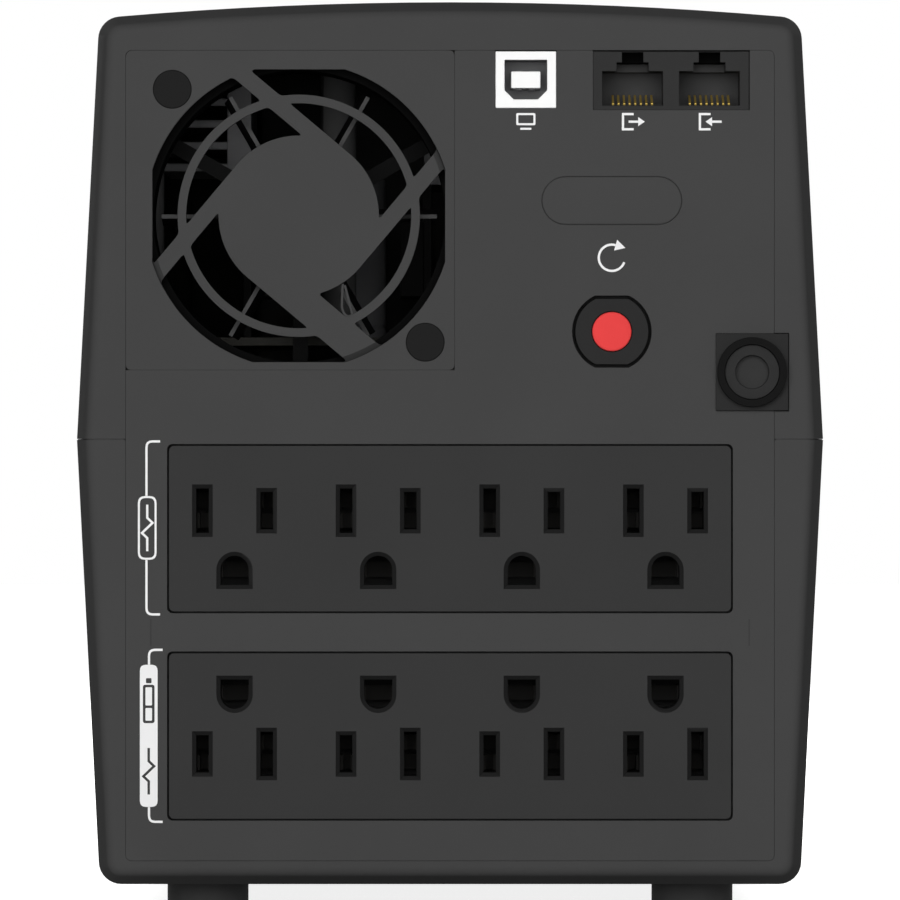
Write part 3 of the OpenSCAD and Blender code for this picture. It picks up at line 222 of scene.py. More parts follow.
def painted(finish, *nodes):
    """CAD nodes whose shape is right get a finish."""
    for node in nodes:
        materials = frame["nodes"][node].data.materials
        materials.clear()
        materials.append(finish)


def bend(points, radius, closed=False, steps=4):
    """A line of points with its corners rounded."""
    out = []
    count = len(points)
    for i, corner in enumerate(points):
        if not closed and i in (0, count - 1):
            out.append(Vector(corner))
            continue
        here = Vector(corner)
        before = Vector(points[i - 1]) - here
        after = Vector(points[(i + 1) % count]) - here
        reach = min(radius, before.length * 0.49, after.length * 0.49)
        start = here + before.normalized() * reach
        end = here + after.normalized() * reach
        for k in range(steps + 1):
            t = k / steps
            out.append(start * (1 - t) ** 2 + here * 2 * t * (1 - t) + end * t ** 2)
    return out


def lathe(name, profile, place, axis="Y", sides=72, closed=False):
    """A turned mesh: a profile of radius and distance along the axis, in mm, at a place in metres."""
    bm = bmesh.new()
    rings = []
    for r, d in profile:
        if r < 1e-6:
            rings.append([bm.verts.new(spun(0, 0, d, axis, place))])
            continue
        turn = [2 * pi * k / sides for k in range(sides)]
        rings.append([bm.verts.new(spun(r * cos(a), r * sin(a), d, axis, place)) for a in turn])
    skin(bm, rings + rings[:1] if closed else rings, sides)
    return mesh_of(bm, name)


def skin(bm, rings, sides):
    """Faces between neighbouring rings of points, where a ring of one point is a tip."""
    for a, b in zip(rings, rings[1:]):
        for k in range(sides):
            after = k + 1
            corners = dict.fromkeys((a[k % len(a)], a[after % len(a)], b[after % len(b)], b[k % len(b)]))
            if len(corners) > 2:
                bm.faces.new(list(corners))
    bmesh.ops.recalc_face_normals(bm, faces=bm.faces)


def spun(u, v, d, axis, place):
    """A turned point about a level axis along y or an upright one along z."""
    point = Vector((u, d, v)) if axis == "Y" else Vector((u, v, d))
    return Vector(place) + point * MM


def soft_box(name, lo, hi, edge, steps=2):
    """A box between two corners with rounded edges, in metres."""
    bm = bmesh.new()
    bmesh.ops.create_cube(bm, size=1.0)
    lo, hi = Vector(lo), Vector(hi)
    for vert in bm.verts:
        vert.co = lo + Vector(((vert.co.x + 0.5) * (hi.x - lo.x), (vert.co.y + 0.5) * (hi.y - lo.y),
                               (vert.co.z + 0.5) * (hi.z - lo.z)))
    bmesh.ops.bevel(bm, geom=list(bm.edges), offset=edge, segments=steps, profile=0.5, affect="EDGES")
    return mesh_of(bm, name)


def face_loops(node, y):
    """Outlines, in x and z, of the flat face that a CAD node has at a depth."""
    bm = bmesh.new()
    bm.from_mesh(frame["nodes"][node].data)
    bmesh.ops.remove_doubles(bm, verts=bm.verts, dist=MERGE)
    flat = {f for f in bm.faces if all(abs(v.co.y - y) < FLAT for v in f.verts)}
    rim = [e for e in bm.edges if sum(f in flat for f in e.link_faces) == 1]
    after = {}
    for e in rim:
        for a, b in ((e.verts[0], e.verts[1]), (e.verts[1], e.verts[0])):
            after.setdefault(a, []).append(b)
    loops = []
    seen = set()
    for first in after:
        if first in seen:
            continue
        loop = [first]
        seen.add(first)
        while True:
            step = [v for v in after[loop[-1]] if v not in seen]
            if not step:
                break
            loop.append(step[0])
            seen.add(step[0])
        loops.append([(v.co.x, v.co.z) for v in loop])
    bm.free()
    return loops


def reach_of(loop):
    """Width of an outline."""
    across = [x for x, _ in loop]
    return max(across) - min(across)


def eased(loop, radius, turn=25):
    """An outline with its sharp corners rounded, walking back and on along it from each corner."""
    points = [Vector(p) for p in loop]
    count = len(points)
    sharp = set()
    for i, here in enumerate(points):
        before, after = here - points[i - 1], points[(i + 1) % count] - here
        if abs(before.angle_signed(after)) > radians(turn):
            sharp.add(i)
    out, dropped = [], set()
    rounds = {}
    for i in sharp:
        ends = []
        for way in (-1, 1):
            left, k = radius, i
            while True:
                step = points[(k + way) % count] - points[k % count]
                if step.length >= left or (k + way) % count in sharp:
                    ends.append(points[k % count] + step * min(left / step.length, 0.45))
                    break
                left -= step.length
                k += way
                dropped.add(k % count)
        rounds[i] = [ends[0] * (1 - t) ** 2 + points[i] * 2 * t * (1 - t) + ends[1] * t ** 2
                     for t in (0.0, 0.2, 0.4, 0.6, 0.8, 1.0)]
    for i, here in enumerate(points):
        if i in rounds:
            out.extend(rounds[i])
        elif i not in dropped:
            out.append(here)
    return [tuple(p) for p in out]


def plate(name, loops, y0, depth, edge=0.0, grow=0.0):
    """A flat plate with holes and rounded edges, from outlines in x and z, y0 being its outer face."""
    curve = bpy.data.curves.new(name, "CURVE")
    curve.dimensions = "2D"
    curve.fill_mode = "BOTH"
    for loop in loops:
        spline = curve.splines.new("POLY")
        spline.points.add(len(loop) - 1)
        for point, (x, z) in zip(spline.points, loop):
            point.co = (x, z, 0.0, 1.0)
        spline.use_cyclic_u = True
    curve.extrude = depth / 2 - edge
    curve.bevel_depth = edge
    curve.bevel_resolution = 2
    curve.offset = grow - edge
    mesh = baked(linked(name, curve))
    mesh.transform(Matrix.Translation((0, y0 + depth / 2, 0)) @ Matrix.Rotation(pi / 2, 4, "X"))
    bm = bmesh.new()
    bm.from_mesh(mesh)
    bmesh.ops.remove_doubles(bm, verts=bm.verts, dist=MERGE)
    bmesh.ops.recalc_face_normals(bm, faces=bm.faces)
    bpy.data.meshes.remove(mesh)
    return mesh_of(bm, name)


# Geometry Nodes for what repeats

def tree_inputs(tree, sockets):
    """Named inputs of a node tree, and its geometry output."""
    tree.interface.new_socket(name="Geometry", in_out="OUTPUT", socket_type="NodeSocketGeometry")
    tree.interface.new_socket(name="Geometry", in_out="INPUT", socket_type="NodeSocketGeometry")
    for name, kind in sockets:
        tree.interface.new_socket(name=name, in_out="INPUT", socket_type="NodeSocket" + kind)
    return tree.nodes.new("NodeGroupInput"), tree.nodes.new("NodeGroupOutput")


def finished_tree(tree, geometry, given, out):
    """Ends a tree in real geometry with its finish."""
    real = tree.nodes.new("GeometryNodeRealizeInstances")
    paint = tree.nodes.new("GeometryNodeSetMaterial")
    tree.links.new(geometry, real.inputs["Geometry"])
    tree.links.new(real.outputs["Geometry"], paint.inputs["Geometry"])
    tree.links.new(given.outputs["Finish"], paint.inputs["Material"])
    tree.links.new(paint.outputs["Geometry"], out.inputs["Geometry"])
    return tree


def rows_tree():
    """Copies of a piece in columns and rows."""
    tree = bpy.data.node_groups.new("Rows of a piece", "GeometryNodeTree")
    given, out = tree_inputs(tree, [
        ("Piece", "Object"), ("Columns", "Int"), ("Column step", "Vector"), ("Rows", "Int"),
        ("Row step", "Vector"), ("Finish", "Material")])
    link = tree.links.new
    lines = []
    for count, step in (("Columns", "Column step"), ("Rows", "Row step")):
        line = tree.nodes.new("GeometryNodeMeshLine")
        link(given.outputs[count], line.inputs["Count"])
        link(given.outputs[step], line.inputs["Offset"])
        lines.append(line)
    grid = tree.nodes.new("GeometryNodeInstanceOnPoints")
    places = tree.nodes.new("GeometryNodeRealizeInstances")
    source = tree.nodes.new("GeometryNodeObjectInfo")
    copies = tree.nodes.new("GeometryNodeInstanceOnPoints")
    link(lines[0].outputs["Mesh"], grid.inputs["Points"])
    link(lines[1].outputs["Mesh"], grid.inputs["Instance"])
    link(grid.outputs["Instances"], places.inputs["Geometry"])
    link(given.outputs["Piece"], source.inputs["Object"])
    link(places.outputs["Geometry"], copies.inputs["Points"])
    link(source.outputs["Geometry"], copies.inputs["Instance"])
    return finished_tree(tree, copies.outputs["Instances"], given, out)


def ring_tree():
    """Copies of a piece turned about a level axis."""
    tree = bpy.data.node_groups.new("Ring of a piece", "GeometryNodeTree")
    given, out = tree_inputs(tree, [
        ("Piece", "Object"), ("Count", "Int"), ("Centre", "Vector"), ("Finish", "Material")])
    link = tree.links.new
    points = tree.nodes.new("GeometryNodeMeshLine")
    points.inputs["Offset"].default_value = (0, 0, 0)
    index = tree.nodes.new("GeometryNodeInputIndex")
    share = tree.nodes.new("ShaderNodeMath")
    share.operation = "DIVIDE"
    angle = tree.nodes.new("ShaderNodeMath")
    angle.operation = "MULTIPLY"
    angle.inputs[1].default_value = 2 * pi
    turn = tree.nodes.new("ShaderNodeCombineXYZ")
    source = tree.nodes.new("GeometryNodeObjectInfo")
    copies = tree.nodes.new("GeometryNodeInstanceOnPoints")
    moved = tree.nodes.new("GeometryNodeTransform")
    link(given.outputs["Count"], points.inputs["Count"])
    link(index.outputs["Index"], share.inputs[0])
    link(given.outputs["Count"], share.inputs[1])
    link(share.outputs["Value"], angle.inputs[0])
    link(angle.outputs["Value"], turn.inputs["Y"])
    link(given.outputs["Piece"], source.inputs["Object"])
    link(points.outputs["Mesh"], copies.inputs["Points"])
    link(source.outputs["Geometry"], copies.inputs["Instance"])
    link(turn.outputs["Vector"], copies.inputs["Rotation"])
    link(copies.outputs["Instances"], moved.inputs["Geometry"])
    link(given.outputs["Centre"], moved.inputs["Translation"])
    return finished_tree(tree, moved.outputs["Geometry"], given, out)


def repeated(name, tree, template, **values):
    """The plain mesh that a tree makes from a template mesh, its inputs named as in the tree."""
    source = linked(name + "_template", template)
    host = linked(name, bpy.data.meshes.new(name))
    grown = host.modifiers.new("Copies", "NODES")
    grown.node_group = tree
    values["Piece"] = source
    for socket in tree.interface.items_tree:
        if socket.in_out == "INPUT" and socket.name.replace(" ", "_") in values:
            grown[socket.identifier] = values[socket.name.replace(" ", "_")]
    host.update_tag()
    mesh = baked(host)
    bpy.data.objects.remove(source)
    return mesh


def in_rows(name, template, finish, columns, column_step, rows=1, row_step=(0, 0, 0)):
    """Copies of a template in columns and rows, steps in mm."""
    return repeated(
        name, trees()["rows"], template, Columns=columns, Column_step=Vector(column_step) * MM,
        Rows=rows, Row_step=Vector(row_step) * MM, Finish=finish)


def trees():
    """Both node trees, built once."""
    if "Rows of a piece" not in bpy.data.node_groups:
        rows_tree()
        ring_tree()
    groups = bpy.data.node_groups
    return {"rows": groups["Rows of a piece"], "ring": groups["Ring of a piece"]}


# Finishes

class Paint:
    """A material under way: its shader, and textures on the piece's own coordinates."""

    # Width in metres of a Wave texture's bands at a scale of 1
    wave_length = 0.314

    def __init__(self, name, rough, metallic=0.0, coat=0.0, specular=0.5):
        self.material = bpy.data.materials.new(name)
        self.material.use_nodes = True
        self.tree = self.material.node_tree
        self.shader = self.tree.nodes["Principled BSDF"]
        self.shader.inputs["Roughness"].default_value = rough
        self.shader.inputs["Metallic"].default_value = metallic
        self.shader.inputs["Coat Weight"].default_value = coat
        self.shader.inputs["Specular IOR Level"].default_value = specular
        self.where = self.tree.nodes.new("ShaderNodeTexCoord").outputs["Object"]

    def node(self, kind, **settings):
        made = self.tree.nodes.new("ShaderNode" + kind)
        for key, value in settings.items():
            setattr(made, key, value)
        return made

    def link(self, a, b):
        self.tree.links.new(a, b)

    def placed(self, stretch):
        """Coordinates stretched along the axes."""
        mapping = self.node("Mapping")
        mapping.inputs["Scale"].default_value = stretch
        self.link(self.where, mapping.inputs["Vector"])
        return mapping.outputs["Vector"]

    def noise(self, size, detail=2.0, stretch=None):
        """Even grain of a size in metres."""
        made = self.node("TexNoise")
        made.inputs["Scale"].default_value = 1.0 / size
        made.inputs["Detail"].default_value = detail
        self.link(self.placed(stretch) if stretch else self.where, made.inputs["Vector"])
        return made.outputs["Fac"]

    def cells(self, size):
        """Rounded cells of a size in metres."""
        made = self.node("TexVoronoi")
        made.inputs["Scale"].default_value = 1.0 / size
        self.link(self.where, made.inputs["Vector"])
        return made.outputs["Distance"]

    def bands(self, size, direction, waver=0.0):
        """Parallel bands of a width in metres."""
        made = self.node("TexWave", bands_direction=direction)
        made.inputs["Scale"].default_value = self.wave_length / size
        made.inputs["Distortion"].default_value = waver
        self.link(self.where, made.inputs["Vector"])
        return made.outputs["Fac"]

    def tint(self, by, low, high):
        """Base colour between two colours."""
        mix = self.node("Mix", data_type="RGBA")
        mix.inputs["A"].default_value = (*low, 1.0)
        mix.inputs["B"].default_value = (*high, 1.0)
        self.link(by, mix.inputs["Factor"])
        self.link(mix.outputs["Result"], self.shader.inputs["Base Color"])

    def gloss(self, by, low, high):
        """Roughness between two values."""
        spread = self.node("MapRange")
        spread.inputs["To Min"].default_value = low
        spread.inputs["To Max"].default_value = high
        self.link(by, spread.inputs["Value"])
        self.link(spread.outputs["Result"], self.shader.inputs["Roughness"])

    def relief(self, by, height, strength=1.0):
        """Bump of a height in metres."""
        bump = self.node("Bump")
        bump.inputs["Distance"].default_value = height
        bump.inputs["Strength"].default_value = strength
        self.link(by, bump.inputs["Height"])
        last = self.shader.inputs["Normal"].links
        if last:
            self.link(last[0].from_socket, bump.inputs["Normal"])
        self.link(bump.outputs["Normal"], self.shader.inputs["Normal"])


def shade_of(tone, factor):
    """A colour made lighter or darker."""
    return tuple(min(1.0, c * factor) for c in tone)


def moulded(name, tone, rough=0.55, grain=None, height=None, coat=0.0, specular=0.0015):
    """Moulded plastic with a spark-eroded grain, a faint cloudiness and little shine."""
    sizes = bpy.context.scene.supply_sizes
    paint = Paint(name, rough, coat=coat, specular=specular)
    fine = paint.noise(grain or sizes.grain, 3.0)
    paint.tint(paint.noise(22 * MM, 3.0), shade_of(tone, 0.94), shade_of(tone, 1.06))
    paint.gloss(fine, rough - 0.07, rough + 0.07)
    paint.relief(fine, height or sizes.relief, 0.6)
    return paint.material


def rubbery(name, tone):
    """Soft black rubber with a powdery surface."""
    paint = Paint(name, 0.8, specular=0.1)
    paint.tint(paint.noise(4 * MM, 4.0), shade_of(tone, 0.85), shade_of(tone, 1.2))
    fine = paint.noise(0.25 * MM, 2.0)
    paint.gloss(fine, 0.7, 0.88)
    paint.relief(fine, 0.02 * MM, 0.5)
    return paint.material


def metal(name, tone, rough, stretch=(1, 1, 1), grain=0.2 * MM, bare=1.0):
    """Metal with drawing lines along one axis, bare or dulled by a skin."""
    paint = Paint(name, rough, metallic=bare, specular=0.2)
    lines = paint.noise(grain, 3.0, stretch)
    paint.tint(paint.noise(6 * MM, 3.0), shade_of(tone, 0.9), shade_of(tone, 1.08))
    paint.gloss(lines, max(0.05, rough - 0.1), rough + 0.12)
    paint.relief(lines, 0.006 * MM, 0.4)
    return paint.material


def layered(name, low, high, size, direction, rough, height, waver=0.0, metallic=0.0):
    """Stacked sheets or wound layers."""
    paint = Paint(name, rough, metallic=metallic)
    lines = paint.bands(size, direction, waver)
    paint.tint(lines, low, high)
    paint.gloss(paint.noise(1.5 * MM, 3.0), rough - 0.08, rough + 0.08)
    paint.relief(lines, height, 0.7)
    return paint.material


def board_lacquer(name, ground, tracks_tone):
    """Circuit board: lacquer over copper tracks."""
    paint = Paint(name, 0.38, specular=0.05)
    tracks = paint.node("TexBrick", offset=0.37, squash=0.7)
    tracks.inputs["Scale"].default_value = 160.0
    tracks.inputs["Mortar Size"].default_value = 0.04
    tracks.inputs["Color1"].default_value = (*ground, 1)
    tracks.inputs["Color2"].default_value = (*shade_of(ground, 1.25), 1)
    tracks.inputs["Mortar"].default_value = (*tracks_tone, 1)
    paint.link(paint.where, tracks.inputs["Vector"])
    paint.link(tracks.outputs["Color"], paint.shader.inputs["Base Color"])
    paint.gloss(paint.noise(2 * MM), 0.3, 0.46)
    paint.relief(tracks.outputs["Fac"], 0.03 * MM, 0.5)
    return paint.material


def foam_black(name):
    """Closed-cell foam."""
    paint = Paint(name, 0.9)
    cells = paint.cells(0.9 * MM)
    paint.tint(cells, (0.010, 0.010, 0.010), (0.022, 0.022, 0.022))
    paint.relief(cells, 0.15 * MM, 0.7)
    return paint.material


def polished(name, tone, rough=0.08):
    """Glossy window, with faint smears that only gloss shows."""
    paint = Paint(name, rough, coat=0.6)
    paint.tint(paint.noise(30 * MM, 2.0), shade_of(tone, 0.9), shade_of(tone, 1.1))
    paint.gloss(paint.noise(9 * MM, 4.0), rough, rough + 0.08)
    return paint.material


def make_finishes():
    """Every finish, by name."""
    tones = bpy.context.scene.supply_colours
    return {
        "case": moulded("Housing plastic", tones.case, 0.52, specular=0.0003),
        "panel": moulded("Panel plastic", tones.panel, 0.58),
        "socket": moulded("Socket plastic", tones.socket, 0.5, 0.6 * MM, 0.012 * MM),
        "dark": moulded("Dark plastic", tones.dark, 0.45, 0.5 * MM, 0.01 * MM),
        "rivet": moulded("Rivet plastic", shade_of(tones.dark, 0.6), 0.5, 0.5 * MM, 0.01 * MM),
        # Black plastic for black parts; also laid as painted shade on the grille's opening sides and the heat
        # sinks' webs
        "black": moulded("Black plastic", shade_of(tones.dark, 0.35), 0.5, 0.5 * MM, 0.01 * MM),
        "fan": moulded("Fan plastic", shade_of(tones.dark, 0.14), 0.5, 0.6 * MM, 0.01 * MM, specular=0.08),
        # Near-black fan frame plastic; also laid as painted shade in the top of the jacks' latch notches
        "frame": moulded("Fan frame plastic", shade_of(tones.dark, 0.14), 0.6, 0.5 * MM, 0.01 * MM),
        # Painted shade: a darker copy of the socket plastic for the slot walls and mouths
        "mouth": moulded("Slot mouths", shade_of(tones.socket, 0.42), 0.5, 0.6 * MM, 0.012 * MM),
        "jack": moulded("Jack plastic", (0.031, 0.031, 0.031), 0.45, 0.5 * MM, 0.01 * MM),
        # Painted light: a lighter copy of the jack plastic for the jacks' cavity walls
        "jack_inside": moulded("Jack inside", (0.05, 0.05, 0.05), 0.5, 0.5 * MM, 0.01 * MM),
        # Painted highlight: a light plastic for the fan blades' front faces
        "fan_edge_highlight": moulded("Fan plastic, edges", shade_of(tones.panel, 1.1), 0.5, 0.6 * MM, 0.01 * MM),
        # Painted shade: a darker copy of the panel plastic for the lines that stand for a faint edge
        "parting_shade": moulded("Parting line", shade_of(tones.panel, 0.8), 0.6),
        # Grey for the square socket's metal shell, darkened as painted shade; also on its contact leaves
        "cavity": moulded("Cavity grey", (0.26, 0.26, 0.265), 0.5, 0.5 * MM, 0.01 * MM),
        "white": moulded("White plastic", tones.white, 0.42, 0.7 * MM, 0.008 * MM),
        "red": moulded("Reset red", tones.reset, 0.36, 0.8 * MM, 0.006 * MM),
        "grey": moulded("Button grey", (0.27, 0.28, 0.29), 0.4, 0.5 * MM, 0.01 * MM),
        "print": moulded("Printed ink", tones.mark, 0.6, 0.3 * MM, 0.006 * MM),
        "rubber": rubbery("Foot rubber", (0.048, 0.048, 0.048)),
        "bush": rubbery("Bush rubber", (0.0215, 0.0215, 0.0215)),
        # Painted light: a lighter rubber for the bottom of the bush's bore
        "web": rubbery("Bush web", (0.0285, 0.0285, 0.0285)),
        "steel": metal("Plated steel", (0.58, 0.58, 0.60), 0.32),
        "brass": metal("Contact brass", (0.66, 0.46, 0.17), 0.28, (1, 0.05, 1)),
        # Painted shade: near-black brass for the socket contacts deep in their slots
        "contact_shade": metal("Tarnished bronze", (0.007, 0.0062, 0.005), 0.6, (1, 0.05, 1), bare=0.2),
        "gold": metal("Gilded contact", (0.36, 0.25, 0.05), 0.34, (1, 0.05, 1), bare=0.3),
        "sink": metal("Dull aluminium", (0.066, 0.066, 0.068), 0.5, (1, 0.03, 1), 0.4 * MM, bare=0.35),
        "core": layered("Core sheets", (0.20, 0.20, 0.21), (0.33, 0.33, 0.34), 0.5 * MM, "Y", 0.45, 0.05 * MM,
                        metallic=1.0),
        "coil": layered("Wound wire", (0.30, 0.11, 0.03), (0.52, 0.24, 0.07), 1.1 * MM, "Z", 0.4, 0.3 * MM,
                        waver=0.4),
        "bobbin": moulded("Bobbin nylon", (0.70, 0.66, 0.50), 0.5, 0.6 * MM, 0.01 * MM),
        "sleeve": moulded("Capacitor sleeve", (0.06, 0.06, 0.062), 0.4, 1.2 * MM, 0.02 * MM),
        "battery": moulded("Battery case", (0.05, 0.05, 0.055), 0.5, 0.6 * MM, 0.02 * MM),
        "magnet": moulded("Magnet ferrite", (0.03, 0.027, 0.025), 0.7, 0.3 * MM, 0.03 * MM),
        "board": board_lacquer("Circuit board", (0.010, 0.085, 0.034), (0.028, 0.190, 0.080)),
        "dark_board": board_lacquer("Dark circuit board", (0.007, 0.007, 0.006), (0.014, 0.013, 0.010)),
        "foam": foam_black("Foam pad"),
        "lens": polished("Display window", (0.010, 0.010, 0.012)),
        "display": moulded("Display film", (0.16, 0.22, 0.25), 0.35, 1.5 * MM, 0.004 * MM),
        "red_wire": rubbery("Red insulation", (0.45, 0.012, 0.012)),
        "black_wire": rubbery("Black insulation", (0.012, 0.012, 0.012)),
    }


FINISH = {}


# Operators, one for each group of pieces

class SUPPLY_OT_finishes(bpy.types.Operator):
    """Make every finish from the colours and sizes in the panel"""

    bl_idname = "supply.finishes"
    bl_label = "Finishes"

    def execute(self, context):
        FINISH.clear()
        FINISH.update(make_finishes())
        return {"FINISHED"}


class SUPPLY_OT_case(bpy.types.Operator):
    """Dress both shells, the front cap and the feet"""

    bl_idname = "supply.case"
    bl_label = "Case"

    def execute(self, context):
        for node in ("lower_shell", "upper_shell", "front_panel"):
            piece(node + "_moulded", cad_mesh(node), FINISH["case"], [node], angle=25)
        lo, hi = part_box("feet")
        radius, peg, rest = FOOT_DIA / 2, 3.0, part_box("lower_shell")[0].z / MM
        centre = Vector((lo.x + radius * MM, lo.y + radius * MM, 0))
        top = hi.z / MM
        profile = bend([(0, 0.4), (5.5, 0.4), (5.9, 0), (radius, 0), (radius, rest), (peg, rest), (peg, top),
                        (0, top)], 0.4, steps=5)
        foot = lathe("foot", profile, centre, "Z")
        steps = [(hi.x - lo.x) / MM - 2 * radius, (hi.y - lo.y) / MM - 2 * radius]
        feet = in_rows("feet", foot, FINISH["rubber"], 2, (steps[0], 0, 0), 2, (0, steps[1], 0))
        piece("rubber_feet", feet, FINISH["rubber"], ["feet"])
        return {"FINISHED"}


class SUPPLY_OT_rear_panel(bpy.types.Operator):
    """Rear panel, fan grille and port blank with rounded edges"""

    bl_idname = "supply.rear_panel"
    bl_label = "Rear panel"

    # How far, in mm, the panel's and the grille's left, right, low and high sides close their gaps
    panel_growth = (0.07, 0.07, 0.07, 0.07)
    grille_growth = (0.14, 0.03, 0.03, 0.14)

    def execute(self, context):
        edge, close = context.scene.supply_sizes.edge, context.scene.supply_sizes.close
        face_t, backing_t = 2.5 * MM, 2 * MM
        loops = self.grown(face_loops("rear_panel", PANEL_Y), *self.panel_growth)
        face = plate("panel_face", loops, PANEL_Y, face_t, edge, close)
        rim = face_loops("rear_panel", PANEL_BACK_Y)
        backing = plate("panel_backing", rim, PANEL_BACK_Y - backing_t, backing_t)
        panel = joined("rear_panel_moulded", [face, backing])
        piece("rear_panel_moulded", panel, FINISH["panel"], ["rear_panel"])
        grille = self.grille(edge, close)
        clip = plate("wire_clip", [self.clip()], PANEL_Y + 0.5 * MM, 1.2 * MM, edge)
        plastic = joined("fan_grille_moulded", [grille, clip])
        guard = piece("fan_grille_moulded", plastic, FINISH["panel"], ["fan_grille"])
        # Painted shade: the sides of the arms and of the opening get black plastic, standing for the shadow
        # in the opening
        two_tone(guard, FINISH["black"], self.in_opening)
        blank_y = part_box("port_blank")[0].y
        cap = plate("blank_cap", face_loops("port_blank", blank_y), blank_y, 4.5 * MM, 0.45 * MM, close / 2)
        piece("port_blank_cap", cap, FINISH["panel"], ["port_blank"])
        self.parting_lines()
        return {"FINISHED"}

    def in_opening(self, at, normal):
        """Whether a face of the grille is a side of an arm or of the opening, behind its rounded edge."""
        opening, round_depth = 32.0, 0.3
        near = (at - FAN_AXIS / MM).xz.length < opening
        return near and abs(normal.y) < 0.3 and at.y > PANEL_Y / MM + round_depth

    def parting_lines(self):
        """Two fine upright lines of painted shade on the panel, standing for a faint edge, from one socket
        bank to the other.
        """
        width, depth, proud = 0.3, 0.02 * MM, 0.005 * MM
        low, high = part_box("socket_bank_lower")[1].z / MM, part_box("socket_bank_upper")[0].z / MM
        lines = []
        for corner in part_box("socket_bank_upper"):
            ends = [(corner.x / MM, low), (corner.x / MM, high)]
            lines.append(plate("parting_line", [stroke(ends, width)], PANEL_Y - proud, depth))
        piece("parting_lines", joined("parting_lines", lines), FINISH["parting_shade"])

    def grown(self, loops, left, right, low, high):
        """Loops whose outermost is moved out at its four sides, in mm, to leave a hairline of the gap."""
        outer = max(loops, key=reach_of)
        x0, x1 = min(x for x, z in outer), max(x for x, z in outer)
        z0, z1 = min(z for x, z in outer), max(z for x, z in outer)
        wide, tall = (left + right) * MM / (x1 - x0), (low + high) * MM / (z1 - z0)
        wider = [(x - left * MM + (x - x0) * wide, z - low * MM + (z - z0) * tall) for x, z in outer]
        return [wider if loop is outer else loop for loop in loops]

    def grille(self, edge, close):
        """The grille's plate and spider, with three arms that slope down at their outer ends."""
        back_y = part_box("fan_grille")[1].y
        openings = [loop for loop in face_loops("fan_grille", back_y) if reach_of(loop) > 5 * MM]
        heads = [loop for loop in face_loops("fan_grille", PANEL_Y) if 7 * MM < reach_of(loop) < 9 * MM]
        corner = 1.1 * MM
        loops = self.grown([eased(loop, corner) for loop in openings] + heads, *self.grille_growth)
        whole = linked("fan_grille", plate("fan_grille", loops, PANEL_Y, back_y - PANEL_Y, edge, close / 2))
        cutter = linked("arm_slopes", self.slopes())
        cut = whole.modifiers.new("Slopes", "BOOLEAN")
        cut.object = cutter
        mesh = baked(whole)
        bpy.data.objects.remove(cutter)
        return mesh

    def slopes(self):
        """Wedges, bent round the fan's axis, that cut the slopes at the ends of three arms."""
        bm = bmesh.new()
        out, run, dip, front = 30.4, 1.2, 1.6, 0.5
        section = [(out - run - front * run / dip, -front), (out, -front), (out, dip)]
        steps = 10
        arm_ends = ((197, 208), (287, 310), (17, 28))
        for first, last in arm_ends:
            rings = []
            for k in range(steps + 1):
                a = radians(first + (last - first) * k / steps)
                rings.append([bm.verts.new(Vector((
                    FAN_AXIS.x + r * cos(a) * MM, PANEL_Y + d * MM, FAN_AXIS.z + r * sin(a) * MM)))
                    for r, d in section])
            for a, b in zip(rings, rings[1:]):
                for i in range(len(section)):
                    bm.faces.new((a[i], a[i - 1], b[i - 1], b[i]))
            bm.faces.new(rings[0])
            bm.faces.new(rings[-1])
        bmesh.ops.recalc_face_normals(bm, faces=bm.faces)
        return mesh_of(bm, "arm_slopes")

    def clip(self):
        """Outline of the wire clip on the grille's broad arm."""
        path = [(8.7, -13.4), (8.5, -18.3), (9.3, -19.9), (10.7, -19.8), (9.1, -13.7)]
        wire = bend([(FAN_AXIS.x / MM + x, FAN_AXIS.z / MM + z) for x, z in path], 0.7, steps=6)
        return stroke(wire, 0.5)


